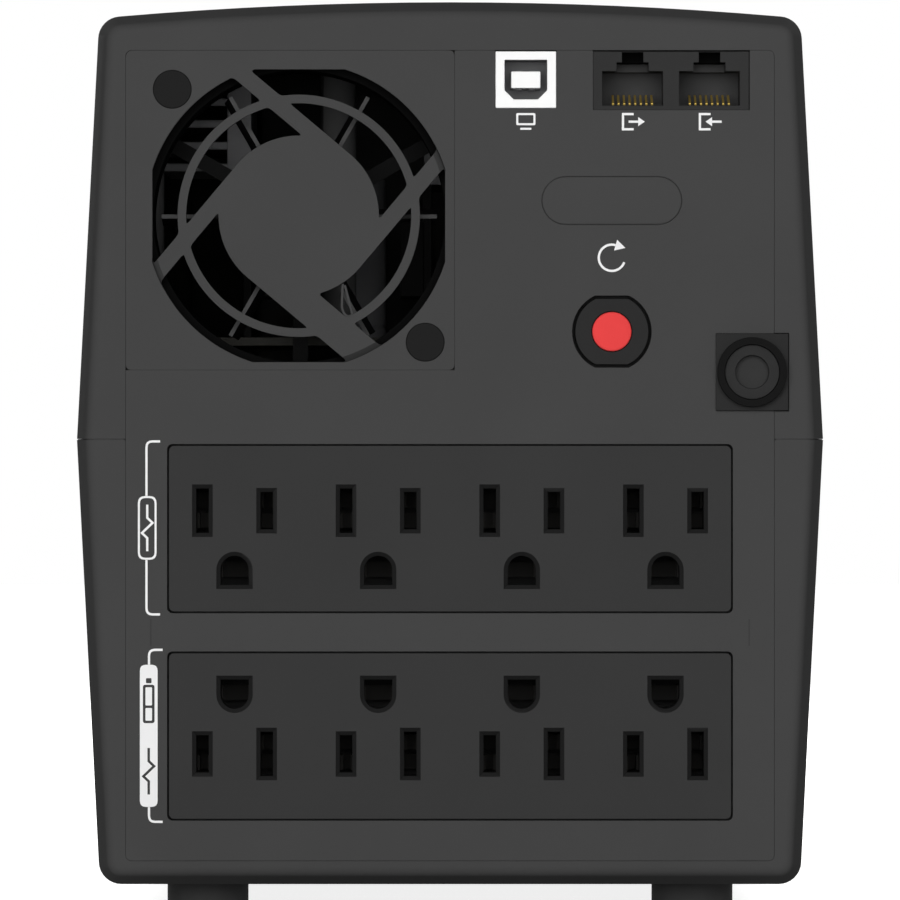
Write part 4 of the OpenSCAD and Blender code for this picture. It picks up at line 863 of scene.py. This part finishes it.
class SUPPLY_OT_fan(bpy.types.Operator):
    """Fan wheel with bowed blades, its frame, motor and rivets"""

    bl_idname = "supply.fan"
    bl_label = "Fan"

    def execute(self, context):
        sizes = context.scene.supply_sizes
        lo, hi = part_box("fan_rotor")
        hub_lo, depth = lo.y, (hi.y - lo.y) / MM
        axis = Vector((FAN_AXIS.x, hub_lo, FAN_AXIS.z))
        cup = lathe("fan_cup", bend([
            (1.52, 0), (15.5, 0), (15.5, depth), (14.1, depth), (14.1, 1.4), (1.52, 1.4)], 0.5, closed=True),
            axis, closed=True)
        blades = repeated(
            "fan_blades", trees()["ring"], self.blade(sizes, depth), Count=sizes.blades, Centre=axis,
            Finish=FINISH["fan"])
        wheel = piece("fan_wheel_moulded", joined("fan_wheel", [cup, blades]), FINISH["fan"], ["fan_rotor"])
        # Painted highlight: the blades' front faces get a light plastic, standing for the light that they
        # catch
        two_tone(wheel, FINISH["fan_edge_highlight"], lambda at, normal: normal.y < -0.8 and at.y > hub_lo / MM + 1)
        holder = piece("fan_frame_moulded", cad_mesh("fan_frame"), FINISH["frame"], ["fan_frame"])
        two_tone(holder, FINISH["black"], lambda at, normal: normal.y < -0.9 and at.y > hub_lo / MM + 12)
        head, spacing = 3.8, 50
        lo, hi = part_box("fan_rivets")
        rivet = lathe("rivet", bend([
            (0, 0), (head, 0), (head, 1), (1.9, 1), (1.9, 8.2), (2.8, 8.2), (1.2, 10.2), (0, 10.2)], 0.35),
            (lo.x + head * MM, PANEL_Y, hi.z - head * MM))
        rivets = in_rows("fan_rivets", rivet, FINISH["rivet"], 2, (spacing, 0, -spacing))
        piece("fan_rivet_heads", rivets, FINISH["rivet"], ["fan_rivets"])
        painted(FINISH["steel"], "fan_shaft")
        painted(FINISH["magnet"], "fan_magnet")
        painted(FINISH["brass"], "fan_bearing")
        painted(FINISH["core"], "fan_stator")
        return {"FINISHED"}

    def blade(self, sizes, depth):
        """One bowed blade along +x, about the axis, thickened to a plate."""
        bm = bmesh.new()
        inner, outer, half = 15.0, 27.3, depth / 2 - 1.5
        across, along = 6, 8
        grid = []
        for i in range(along + 1):
            t = -1 + 2 * i / along
            shift = -tan(sizes.blade_pitch) * half * (t + 1) + sizes.blade_camber / MM * (1 - t * t)
            line = []
            for k in range(across + 1):
                r = inner + (outer - inner) * k / across
                swing = -shift / r
                line.append(bm.verts.new(Vector((r * cos(swing), depth / 2 + half * t, r * sin(swing))) * MM))
            grid.append(line)
        for a, b in zip(grid, grid[1:]):
            for k in range(across):
                bm.faces.new((a[k], a[k + 1], b[k + 1], b[k]))
        bmesh.ops.recalc_face_normals(bm, faces=bm.faces)
        obj = linked("fan_blade", mesh_of(bm, "fan_blade"))
        wall = obj.modifiers.new("Thickness", "SOLIDIFY")
        wall.thickness = 0.8 * MM
        wall.offset = 0.0
        return baked(obj)


class SUPPLY_OT_sockets(bpy.types.Operator):
    """Socket banks with sloped mouths, and the strips behind them"""

    bl_idname = "supply.sockets"
    bl_label = "Sockets"

    def execute(self, context):
        for node in ("socket_bank_upper", "socket_bank_lower"):
            bank = piece(node + "_face", cad_mesh(node), FINISH["socket"], [node], angle=20)
            lo, hi = (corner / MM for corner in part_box(node))
            # Painted shade: the slot walls and sloped mouths get a darker copy of the socket plastic
            two_tone(bank, FINISH["mouth"], lambda at, normal: normal.y > -0.95
                     and lo.x + 1 < at.x < hi.x - 1 and lo.z + 1 < at.z < hi.z - 1)
        painted(FINISH["socket"], "bank_cover_upper", "bank_cover_lower")
        # Painted shade: the contacts get near-black brass, standing for the shade deep in the slots
        painted(FINISH["contact_shade"], "line_contacts", "neutral_contacts", "earth_contacts")
        return {"FINISHED"}


class SUPPLY_OT_ports(bpy.types.Operator):
    """Data sockets with their contacts, and their board"""

    bl_idname = "supply.ports"
    bl_label = "Ports"

    def execute(self, context):
        data = piece("square_data_socket", cad_mesh("usb_socket", 0.2 * MM), FINISH["white"], ["usb_socket"])
        # Painted shade: the cavity walls get mid grey, standing for the socket's metal shell seen in shade
        two_tone(data, FINISH["cavity"], self.in_cavity)
        block = cad_mesh("network_jack", 0.12 * MM)
        jack = piece("network_jack_block", block, FINISH["jack"], ["network_jack"])
        # Painted light: the jacks' cavity walls get a lighter copy of the jack plastic, making up for the
        # light that does not reach them
        two_tone(jack, FINISH["jack_inside"], self.in_jack)
        latch_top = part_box("network_jack")[1].z / MM - 0.05
        latch_low = latch_top - 2.4
        # Painted shade: the top of each latch notch gets the near-black fan frame plastic, standing for the
        # shadow under its ceiling
        two_tone(jack, FINISH["frame"], lambda at, normal: self.in_jack(at, normal)
                 and latch_low < at.z < latch_top)
        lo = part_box("network_contacts")[0]
        wire = soft_box("contact_wire", (0, 0, 0), Vector((0.45, 9.0, 0.45)) * MM, 0.1 * MM)
        place = Matrix.Translation((lo.x, lo.y + 0.06 * MM, lo.z))
        wire.transform(place @ Matrix.Rotation(radians(12), 4, "X"))
        wires = in_rows("network_contacts", wire, FINISH["gold"], 8, (1.1, 0, 0), 2, (15.2, 0, 0))
        piece("network_contact_wires", wires, FINISH["gold"], ["network_contacts"])
        lo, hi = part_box("usb_contacts")
        thick = 0.3
        front, back = lo + Vector((0, 3.0, 0)) * MM, lo + Vector((1.1, 8.0, thick)) * MM
        leaf = soft_box("data_leaf", front, back, 0.08 * MM)
        rise = (hi.z - lo.z) / MM - thick
        # Painted shade: the contact leaves get the same grey as the cavity, so they read as lying in its
        # shade
        leaves = in_rows("usb_contacts", leaf, FINISH["cavity"], 2, (2.5, 0, 0), 2, (0, 0, rise))
        piece("data_socket_leaves", leaves, FINISH["cavity"], ["usb_contacts"])
        painted(FINISH["board"], "port_board")
        return {"FINISHED"}

    def in_jack(self, at, normal):
        """Whether a face lies inside the network jacks."""
        wall, lip = 0.6, 1
        lo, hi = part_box("network_jack")
        return lo.x / MM + wall < at.x < hi.x / MM - wall and at.y > lo.y / MM + lip

    def in_cavity(self, at, normal):
        """Whether a face lies in the square socket's cavity but not on its tongue."""
        lo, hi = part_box("usb_socket")
        middle, half_width, half_height, lip = hi.z / MM - 5.6, 4.25, 4.0, 0.3
        tongue_half_width, tongue_half_height, tongue_end = 3.0, 1.75, 12.0
        across = abs(at.x - (lo.x + hi.x) / 2 / MM)
        up = abs(at.z - middle)
        depth = at.y - lo.y / MM
        on_tongue = across < tongue_half_width and up < tongue_half_height and depth < tongue_end
        return across < half_width and up < half_height and depth > lip and not on_tongue


class SUPPLY_OT_breaker(bpy.types.Operator):
    """Breaker with its reset button, and the cord gland with its bush"""

    bl_idname = "supply.breaker"
    bl_label = "Breaker and gland"

    def execute(self, context):
        piece("breaker_moulded", cad_mesh("breaker_body", 0.2 * MM), FINISH["dark"], ["breaker_body"])
        lo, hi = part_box("reset_button")
        place = Vector(((lo.x + hi.x) / 2, lo.y, (lo.z + hi.z) / 2))
        end = (hi.y - lo.y) / MM
        collar = end - 3.0
        button = lathe("reset_button", bend([
            (0, 0), (2.4, 0.05), (3.9, 0.25), (3.9, collar), (4.9, collar), (4.9, end), (0, end)], 0.45),
            place)
        piece("reset_button_cap", button, FINISH["red"], ["reset_button"])
        painted(FINISH["brass"], "breaker_terminals")
        gland = piece("cord_gland_moulded", cad_mesh("cord_gland", 0.3 * MM), FINISH["dark"], ["cord_gland"])
        square_y = PANEL_Y / MM - 1.0
        two_tone(gland, FINISH["black"], lambda at, normal: at.y < square_y - 0.05)
        bush = piece("gland_bush_moulded", cad_mesh("gland_bush", 0.25 * MM), FINISH["bush"], ["gland_bush"])
        rim_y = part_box("gland_bush")[0].y / MM
        # Painted light: the bottom of the bush's bore gets a lighter rubber, making up for the shade in the
        # bore
        two_tone(bush, FINISH["web"], lambda at, normal: normal.y < -0.9 and rim_y + 1 < at.y < rim_y + 4)
        return {"FINISHED"}


class SUPPLY_OT_front(bpy.types.Operator):
    """Display window and power button on the far side"""

    bl_idname = "supply.front"
    bl_label = "Front"

    def execute(self, context):
        lo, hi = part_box("display_lens")
        window = plate("display_window", face_loops("display_lens", hi.y), lo.y, hi.y - lo.y, 0.4 * MM)
        piece("display_window", window, FINISH["lens"], ["display_lens"])
        lo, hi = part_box("power_button")
        place = Vector(((lo.x + hi.x) / 2, lo.y, (lo.z + hi.z) / 2))
        face = (hi.y - lo.y) / MM
        button = lathe("power_button", bend([
            (0, 0), (3, 0), (3, 3), (10.5, 3), (10.5, 4.5), (9, 4.5), (9, face), (7.6, face),
            (6.4, face - 0.5), (0, face - 0.8)], 0.5), place, sides=96)
        piece("power_button_cap", button, FINISH["grey"], ["power_button"], angle=60)
        self.sign(place, face)
        painted(FINISH["display"], "display_module")
        painted(FINISH["board"], "display_board")
        painted(FINISH["black"], "power_switch")
        return {"FINISHED"}

    def sign(self, place, face):
        """The usual broken ring and bar, printed on the button."""
        x, z = place.x / MM, place.z / MM
        ring = arc(x, z, 3.0, 125, 290, 28)
        bar = [(x, z + 0.4), (x, z + 4.0)]
        width, sunk, depth = 0.6, 0.72, 0.12 * MM
        y = place.y + (face - sunk) * MM
        marks = [plate("sign", [stroke(line, width)], y, depth) for line in (ring, bar)]
        sign = joined("power_sign", marks)
        piece("power_sign", sign, FINISH["print"], body="power_key")


class SUPPLY_OT_fasteners(bpy.types.Operator):
    """Screws and bolts with six-sided sockets"""

    bl_idname = "supply.fasteners"
    bl_label = "Fasteners"

    def execute(self, context):
        steel = FINISH["steel"]
        for node, head, tall, shank, way, columns, rows in (
                ("case_screws", 2.6, 2.2, 1.3, "up", 2, 2),
                ("board_screws", 2.6, 2.0, 1.3, "down", 2, 2),
                ("port_board_screws", 2.6, 2.0, 1.3, "up", 2, 1),
                ("bank_screws", 1.5, 1.3, 1.0, "out", 2, 2),
                ("transformer_bolts", 3.4, 3.0, 2.0, "down", 2, 1)):
            lo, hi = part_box(node)
            size = (hi - lo) / MM
            reach = size.y if way == "out" else size.z
            screw = self.screw(node, head, tall, shank, reach)
            if way == "out":
                screw.transform(Matrix.Translation((lo.x + head * MM, hi.y, lo.z + head * MM))
                                @ Matrix.Rotation(pi / 2, 4, "X"))
            else:
                foot = lo.z if way == "up" else hi.z
                turn = Matrix.Rotation(0 if way == "up" else pi, 4, "X")
                screw.transform(Matrix.Translation((lo.x + head * MM, lo.y + head * MM, foot)) @ turn)
            row_step = (0, 0, size.z - 2 * head) if way == "out" else (0, size.y - 2 * head, 0)
            copies = in_rows(node, screw, steel, columns, (size.x - 2 * head, 0, 0), rows, row_step)
            piece(node + "_turned", copies, steel, [node])
        return {"FINISHED"}

    def screw(self, name, head, tall, shank, reach):
        """A screw with its head at the bottom, pointing up."""
        bm = bmesh.new()
        sides = 24
        hexagon = []
        for k in range(sides):
            a = 2 * pi * k / sides
            across = 0.5 * head / max(cos((a + pi / 6) % (pi / 3) - pi / 6), 0.5)
            hexagon.append((across * cos(a), across * sin(a)))
        floor = tall * 0.5
        rings = [[(0, 0, floor)], [(x, y, floor) for x, y in hexagon], [(x, y, 0) for x, y in hexagon]]
        for r, z in ((head - 0.3, 0), (head, 0.3), (head, tall), (shank, tall), (shank, reach - shank),
                     (shank * 0.4, reach), (0, reach)):
            turn = [2 * pi * k / sides for k in range(sides)] if r else [0]
            rings.append([(r * cos(a), r * sin(a), z) for a in turn])
        verts = [[bm.verts.new(Vector(p) * MM) for p in ring] for ring in rings]
        skin(bm, verts, sides)
        return mesh_of(bm, name)


class SUPPLY_OT_power_parts(bpy.types.Operator):
    """Transformer, main board, heat sinks and what stands on the board"""

    bl_idname = "supply.power_parts"
    bl_label = "Power parts"

    def execute(self, context):
        painted(FINISH["core"], "transformer_core")
        painted(FINISH["bobbin"], "transformer_bobbin")
        painted(FINISH["coil"], "transformer_coil")
        painted(FINISH["steel"], "transformer_bracket")
        painted(FINISH["dark_board"], "main_board")
        painted(FINISH["black"], "transistors", "relays")
        self.heat_sink("heat_sink_left", -1)
        self.heat_sink("heat_sink_right", 1)
        lo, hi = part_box("capacitors")
        radius, tall = (hi.x - lo.x) / 2 / MM, (hi.z - lo.z) / MM
        place = (lo.x + radius * MM, lo.y + radius * MM, lo.z)
        can = lathe("capacitor", bend([
            (0, 0), (radius, 0), (radius, 1.6), (radius - 0.35, 2.1), (radius, 2.6), (radius, tall),
            (radius - 1.1, tall), (radius - 1.3, tall - 0.4), (0, tall - 0.4)], 0.3), place, "Z", 48)
        count = round(((hi.y - lo.y) / MM - 2 * radius) / 17) + 1
        cans = in_rows("capacitors", can, FINISH["sleeve"], count, (0, 17, 0))
        piece("capacitor_cans", cans, FINISH["sleeve"], ["capacitors"])
        return {"FINISHED"}

    def heat_sink(self, node, side):
        """A thin web with a thick back and level fins at its top, all to one side."""
        lo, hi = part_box(node)
        web_t, back_t, fin_t, pitch, count = 1.6, 5.0, 1.7, 4.4, 5
        back_z = hi.z - count * pitch * MM
        face = hi.x if side < 0 else lo.x
        web = self.leaning("sink_web", side, face, web_t, lo, hi, lo.z, back_z + 0.5 * MM)
        back = self.leaning("sink_back", side, face, back_t, lo, hi, back_z, hi.z)
        root = face + side * (back_t - 0.5) * MM
        reach = (hi.x - lo.x) / MM - back_t + 0.5
        inset = Vector((0, 0.1 * MM, 0))
        fin = self.leaning("sink_fin", side, root, reach, lo + inset, hi - inset,
                           back_z + (pitch - fin_t) * MM, back_z + pitch * MM)
        fins = in_rows("sink_fins", fin, FINISH["sink"], count, (0, 0, pitch))
        drawn = piece(node + "_drawn", joined(node, [web, back, fins]), FINISH["sink"], [node])
        # Painted shade: the web below the back gets black plastic, standing for the shade inside the case
        two_tone(drawn, FINISH["black"], lambda at, normal: at.z < back_z / MM - 0.1)

    def leaning(self, name, side, face, thick, lo, hi, z0, z1):
        """A plate against a face, to one side of it."""
        x0, x1 = sorted((face, face + side * thick * MM))
        return soft_box(name, (x0, lo.y, z0), (x1, hi.y, z1), 0.3 * MM)


class SUPPLY_OT_batteries(bpy.types.Operator):
    """Both batteries with their tabs, leads and pads"""

    bl_idname = "supply.batteries"
    bl_label = "Batteries"

    def execute(self, context):
        painted(FINISH["battery"], "battery_left", "battery_right")
        painted(FINISH["brass"], "battery_tabs")
        painted(FINISH["foam"], "battery_pads")
        painted(FINISH["red_wire"], "battery_lead_red")
        painted(FINISH["black_wire"], "battery_lead_black", "battery_jumper")
        return {"FINISHED"}


def stroke(points, width):
    """Outline, in metres, of a line of a width drawn through points in mm."""
    line = [Vector(p) for p in points]
    left, right = [], []
    for i, here in enumerate(line):
        before = line[max(i - 1, 0)]
        after = line[min(i + 1, len(line) - 1)]
        sides = []
        for a, b in ((before, here), (here, after)):
            if (b - a).length > 1e-9:
                way = (b - a).normalized()
                sides.append(Vector((-way.y, way.x)))
        normal = sum(sides, Vector((0, 0))).normalized()
        reach = width / 2 / max(normal.dot(sides[0]), 0.4)
        left.append(here + normal * reach)
        right.append(here - normal * reach)
    return [(p.x * MM, p.y * MM) for p in left + right[::-1]]


def arc(x, z, radius, first, turn, steps):
    """Points on a part of a circle, its angles in degrees."""
    angles = [radians(first + turn * k / steps) for k in range(steps + 1)]
    return [(x + radius * cos(a), z + radius * sin(a)) for a in angles]


def area(points):
    """Outline, in metres, of a shape given in mm."""
    return [(x * MM, z * MM) for x, z in points]


def rounded_box(x0, z0, x1, z1, radius):
    """Corners of an upright box with rounded corners, in mm."""
    return [tuple(p) for p in bend([(x0, z0), (x1, z0), (x1, z1), (x0, z1)], radius, closed=True)]


class SUPPLY_OT_print(bpy.types.Operator):
    """Printed brackets and plain signs on the rear panel"""

    bl_idname = "supply.print"
    bl_label = "Print"

    def execute(self, context):
        marks = self.brackets() + self.port_signs() + self.reset_sign()
        height = context.scene.supply_sizes.print_height
        meshes = [plate("mark", loops, PANEL_Y - height, 2 * height) for loops in marks]
        piece("printed_marks", joined("printed_marks", meshes), FINISH["print"])
        return {"FINISHED"}

    def line(self, points, radius=0.0):
        """A printed line through points in mm, its corners rounded if a radius is given."""
        width = bpy.context.scene.supply_sizes.print_width / MM
        return [stroke(bend(points, radius) if radius else points, width)]

    def brackets(self):
        """A bracket beside each bank, with a box for a sign on it."""
        lo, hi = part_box("socket_bank_upper")
        x, z, box = -60.0, (lo.z + hi.z) / 2 / MM + 0.15, 6.3
        marks = self.bracket(x, z, 17.1, box + 0.05)
        marks.append([area(rounded_box(x - 1.7, z - box, x + 2.0, z + box, 1.4)),
                      area(rounded_box(x - 1.3, z - box + 0.4, x + 1.6, z + box - 0.4, 1.1))])
        marks.append(self.line(self.pulse(x + 0.15, z)))
        lo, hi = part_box("socket_bank_lower")
        x, z, box = -59.5, (lo.z + hi.z) / 2 / MM + 0.05, 14.05
        marks += self.bracket(x, z, 17.0, box + 0.03)
        label = [area(rounded_box(x - 1.8, z - box, x + 1.7, z + box, 1.2))]
        label.append(stroke(self.pulse(x - 0.05, z - 7.0), 0.5))
        cell = x - 0.05
        label.append(area(rounded_box(cell - 1.15, z + 2.5, cell + 1.15, z + 10.1, 0.5)))
        label.append(area(rounded_box(cell - 0.65, z + 3.0, cell + 0.65, z + 5.5, 0.2)))
        label.append(area(rounded_box(cell - 0.65, z + 6.0, cell + 0.65, z + 9.6, 0.2)))
        label.append(area(rounded_box(cell - 0.55, z + 10.4, cell + 0.55, z + 11.4, 0.2)))
        marks.append(label)
        return marks

    def bracket(self, x, z, half, gap):
        """Both halves of a bracket, each from its tick down or up to the box in the gap."""
        tick, corner = 2.7, 1.2
        return [self.line([(x + tick, z + way * half), (x, z + way * half), (x, z + way * gap)], corner)
                for way in (-1, 1)]

    def pulse(self, x, z):
        """An upright zigzag about a point."""
        end, foot, peak, wide = 4.6, 2.0, 1.0, 1.05
        return [(x, z - end), (x, z - foot), (x - wide, z - peak), (x + wide, z + peak), (x, z + foot),
                (x, z + end)]

    def port_signs(self):
        """A screen below the square socket, and arrows out of and into a box below the jacks."""
        lo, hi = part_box("usb_socket")
        x, z = (lo.x + hi.x) / 2 / MM, hi.z / MM - 13.9
        screen = [area(rounded_box(x - 1.9, z - 0.7, x + 1.9, z + 1.7, 0.3)),
                  area(rounded_box(x - 1.5, z - 0.3, x + 1.5, z + 1.3, 0.2))]
        stand = [area(rounded_box(x - 1.1, z - 1.6, x + 1.1, z - 1.2, 0.1))]
        marks = [screen, stand]
        lo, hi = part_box("network_jack")
        middle, pitch, half = (lo.x + hi.x) / 2 / MM, 15.2, 1.5
        head, wing, gap = 1.3, 0.9, 0.02
        for way in (1, -1):
            x = middle - way * pitch / 2
            left, right = x - 1.9, x + 0.2
            box = [(right, z + half), (left, z + half), (left, z - half), (right, z - half)]
            marks.append(self.line(box))
            tail, tip = (x - 0.8, x + 2.4) if way > 0 else (x + 2.4, x - 0.8)
            marks.append(self.line([(tail, z), (tip - way * (head + gap), z)]))
            marks.append([area([(tip, z), (tip - way * head, z + wing), (tip - way * head, z - wing)])])
        return marks

    def reset_sign(self):
        """A round arrow above the reset button."""
        lo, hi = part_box("reset_button")
        x, z = (lo.x + hi.x) / 2 / MM, (lo.z + hi.z) / 2 / MM + 14.6
        start, wing, tip, gap = 74, 1.1, 2.0, 0.02
        ring = arc(x, z, 2.6, start, 266, 30)
        across = Vector((cos(radians(start)), sin(radians(start))))
        ahead = Vector((across.y, -across.x))
        base = Vector(ring[0]) + gap * ahead
        head = [base + wing * across, base - wing * across, base + tip * ahead]
        return [self.line(ring), [area(head)]]


class SUPPLY_OT_stage(bpy.types.Operator):
    """Camera at the photographed side, soft lights and a pale floor"""

    bl_idname = "supply.stage"
    bl_label = "Stage"

    # The sensor's width in mm, places and sizes in metres
    sensor = 36.0
    key_place, key_size = (-0.12, -2.2, 0.25), 1.9
    back_place, back_size = (0.75, 1.8, 0.75), 1.0
    aim = (0, 0, 0.08)
    floor_half = 6
    # The floor's glow rises from its near level to white between these distances from the object
    glow_near, glow_far, glow_level = 0.3, 1.0, 0.85

    def execute(self, context):
        scene = context.scene
        stage = scene.supply_stage
        lens = bpy.data.cameras.new("View")
        lens.sensor_width = self.sensor
        lens.lens = self.sensor * stage.distance / stage.view_width
        camera = linked("View", lens)
        camera.location = (0, PANEL_Y - stage.distance, stage.view_height)
        camera.rotation_euler = (pi / 2, 0, 0)
        scene.camera = camera
        self.light("Key", self.key_place, self.key_size, stage.key)
        x, y, z = self.back_place
        for side, name in ((-1, "Back left"), (1, "Back right")):
            self.light(name, (side * x, y, z), self.back_size, stage.back)
        self.floor(stage)
        self.world(scene, stage)
        scene.view_settings.view_transform = "Standard"
        return {"FINISHED"}

    def light(self, name, place, size, watts):
        """A round lamp aimed at the object."""
        data = bpy.data.lights.new(name, "AREA")
        data.shape = "DISK"
        data.size = size
        data.energy = watts
        lamp = linked(name, data)
        lamp.location = place
        lamp.rotation_euler = (Vector(self.aim) - Vector(place)).to_track_quat("-Z", "Y").to_euler()

    def seen(self, tree):
        """1 for rays that show the background, 0 for rays that light the object."""
        path = tree.nodes.new("ShaderNodeLightPath")
        shown = path.outputs["Is Camera Ray"]
        for kind in ("Is Glossy Ray", "Is Transmission Ray"):
            either = tree.nodes.new("ShaderNodeMath")
            either.operation = "MAXIMUM"
            tree.links.new(shown, either.inputs[0])
            tree.links.new(path.outputs[kind], either.inputs[1])
            shown = either.outputs["Value"]
        return shown

    def floor(self, stage):
        """A grey floor that glows white in view and keeps the object's shadow."""
        mesh = bpy.data.meshes.new("Floor")
        half = self.floor_half
        corners = [(-half, -half, 0), (half, -half, 0), (half, half, 0), (-half, half, 0)]
        mesh.from_pydata(corners, [], [(0, 1, 2, 3)])
        floor = linked("Floor", mesh)
        paint = Paint("Floor white", 0.9)
        paint.tint(paint.noise(0.2, 2.0), (0.40, 0.40, 0.40), (0.42, 0.42, 0.42))
        away = paint.node("VectorMath", operation="LENGTH")
        level = paint.node("MapRange")
        level.inputs["From Min"].default_value = self.glow_near
        level.inputs["From Max"].default_value = self.glow_far
        level.inputs["To Min"].default_value = self.glow_level if stage.shadow else 1.0
        share = paint.node("Math", operation="MULTIPLY")
        glow = paint.node("Emission")
        both = paint.node("AddShader")
        paint.link(paint.where, away.inputs[0])
        paint.link(away.outputs["Value"], level.inputs["Value"])
        paint.link(self.seen(paint.tree), share.inputs[0])
        paint.link(level.outputs["Result"], share.inputs[1])
        paint.link(share.outputs["Value"], glow.inputs["Strength"])
        paint.link(paint.shader.outputs["BSDF"], both.inputs[0])
        paint.link(glow.outputs["Emission"], both.inputs[1])
        paint.link(both.outputs["Shader"], paint.tree.nodes["Material Output"].inputs["Surface"])
        mesh.materials.append(paint.material)

    def world(self, scene, stage):
        """An even light all round that shows white."""
        world = bpy.data.worlds.new("Studio")
        world.use_nodes = True
        tree = world.node_tree
        sky = tree.nodes["Background"]
        sky.inputs["Color"].default_value = (1, 1, 1, 1)
        level = tree.nodes.new("ShaderNodeMapRange")
        level.inputs["To Min"].default_value = stage.sky
        tree.links.new(self.seen(tree), level.inputs["Value"])
        tree.links.new(level.outputs["Result"], sky.inputs["Strength"])
        scene.world = world


OPERATORS = (
    SUPPLY_OT_finishes, SUPPLY_OT_case, SUPPLY_OT_rear_panel, SUPPLY_OT_fan, SUPPLY_OT_sockets,
    SUPPLY_OT_ports, SUPPLY_OT_breaker, SUPPLY_OT_front, SUPPLY_OT_fasteners, SUPPLY_OT_power_parts,
    SUPPLY_OT_batteries, SUPPLY_OT_print, SUPPLY_OT_stage)


class SUPPLY_PT_sidebar(bpy.types.Panel):
    """Settings and steps of the power supply"""

    bl_idname = "SUPPLY_PT_sidebar"
    bl_label = "Power supply"
    bl_space_type = "VIEW_3D"
    bl_region_type = "UI"
    bl_category = "Power supply"

    def draw(self, context):
        layout = self.layout
        for group in (context.scene.supply_colours, context.scene.supply_sizes, context.scene.supply_stage):
            box = layout.box()
            for name in group.__annotations__:
                box.prop(group, name)
        for operator in OPERATORS:
            layout.operator(operator.bl_idname)


SETTINGS = (SupplyColours, SupplySizes, SupplyStage)
CLASSES = SETTINGS + OPERATORS + (SUPPLY_PT_sidebar,)


def register():
    for cls in CLASSES:
        bpy.utils.register_class(cls)
    bpy.types.Scene.supply_colours = PointerProperty(type=SupplyColours)
    bpy.types.Scene.supply_sizes = PointerProperty(type=SupplySizes)
    bpy.types.Scene.supply_stage = PointerProperty(type=SupplyStage)


def unregister():
    del bpy.types.Scene.supply_colours
    del bpy.types.Scene.supply_sizes
    del bpy.types.Scene.supply_stage
    for cls in reversed(CLASSES):
        bpy.utils.unregister_class(cls)


def main():
    register()
    for operator in OPERATORS:
        getattr(bpy.ops.supply, operator.bl_idname.split(".")[1])()


if __name__ == "__main__":
    main()
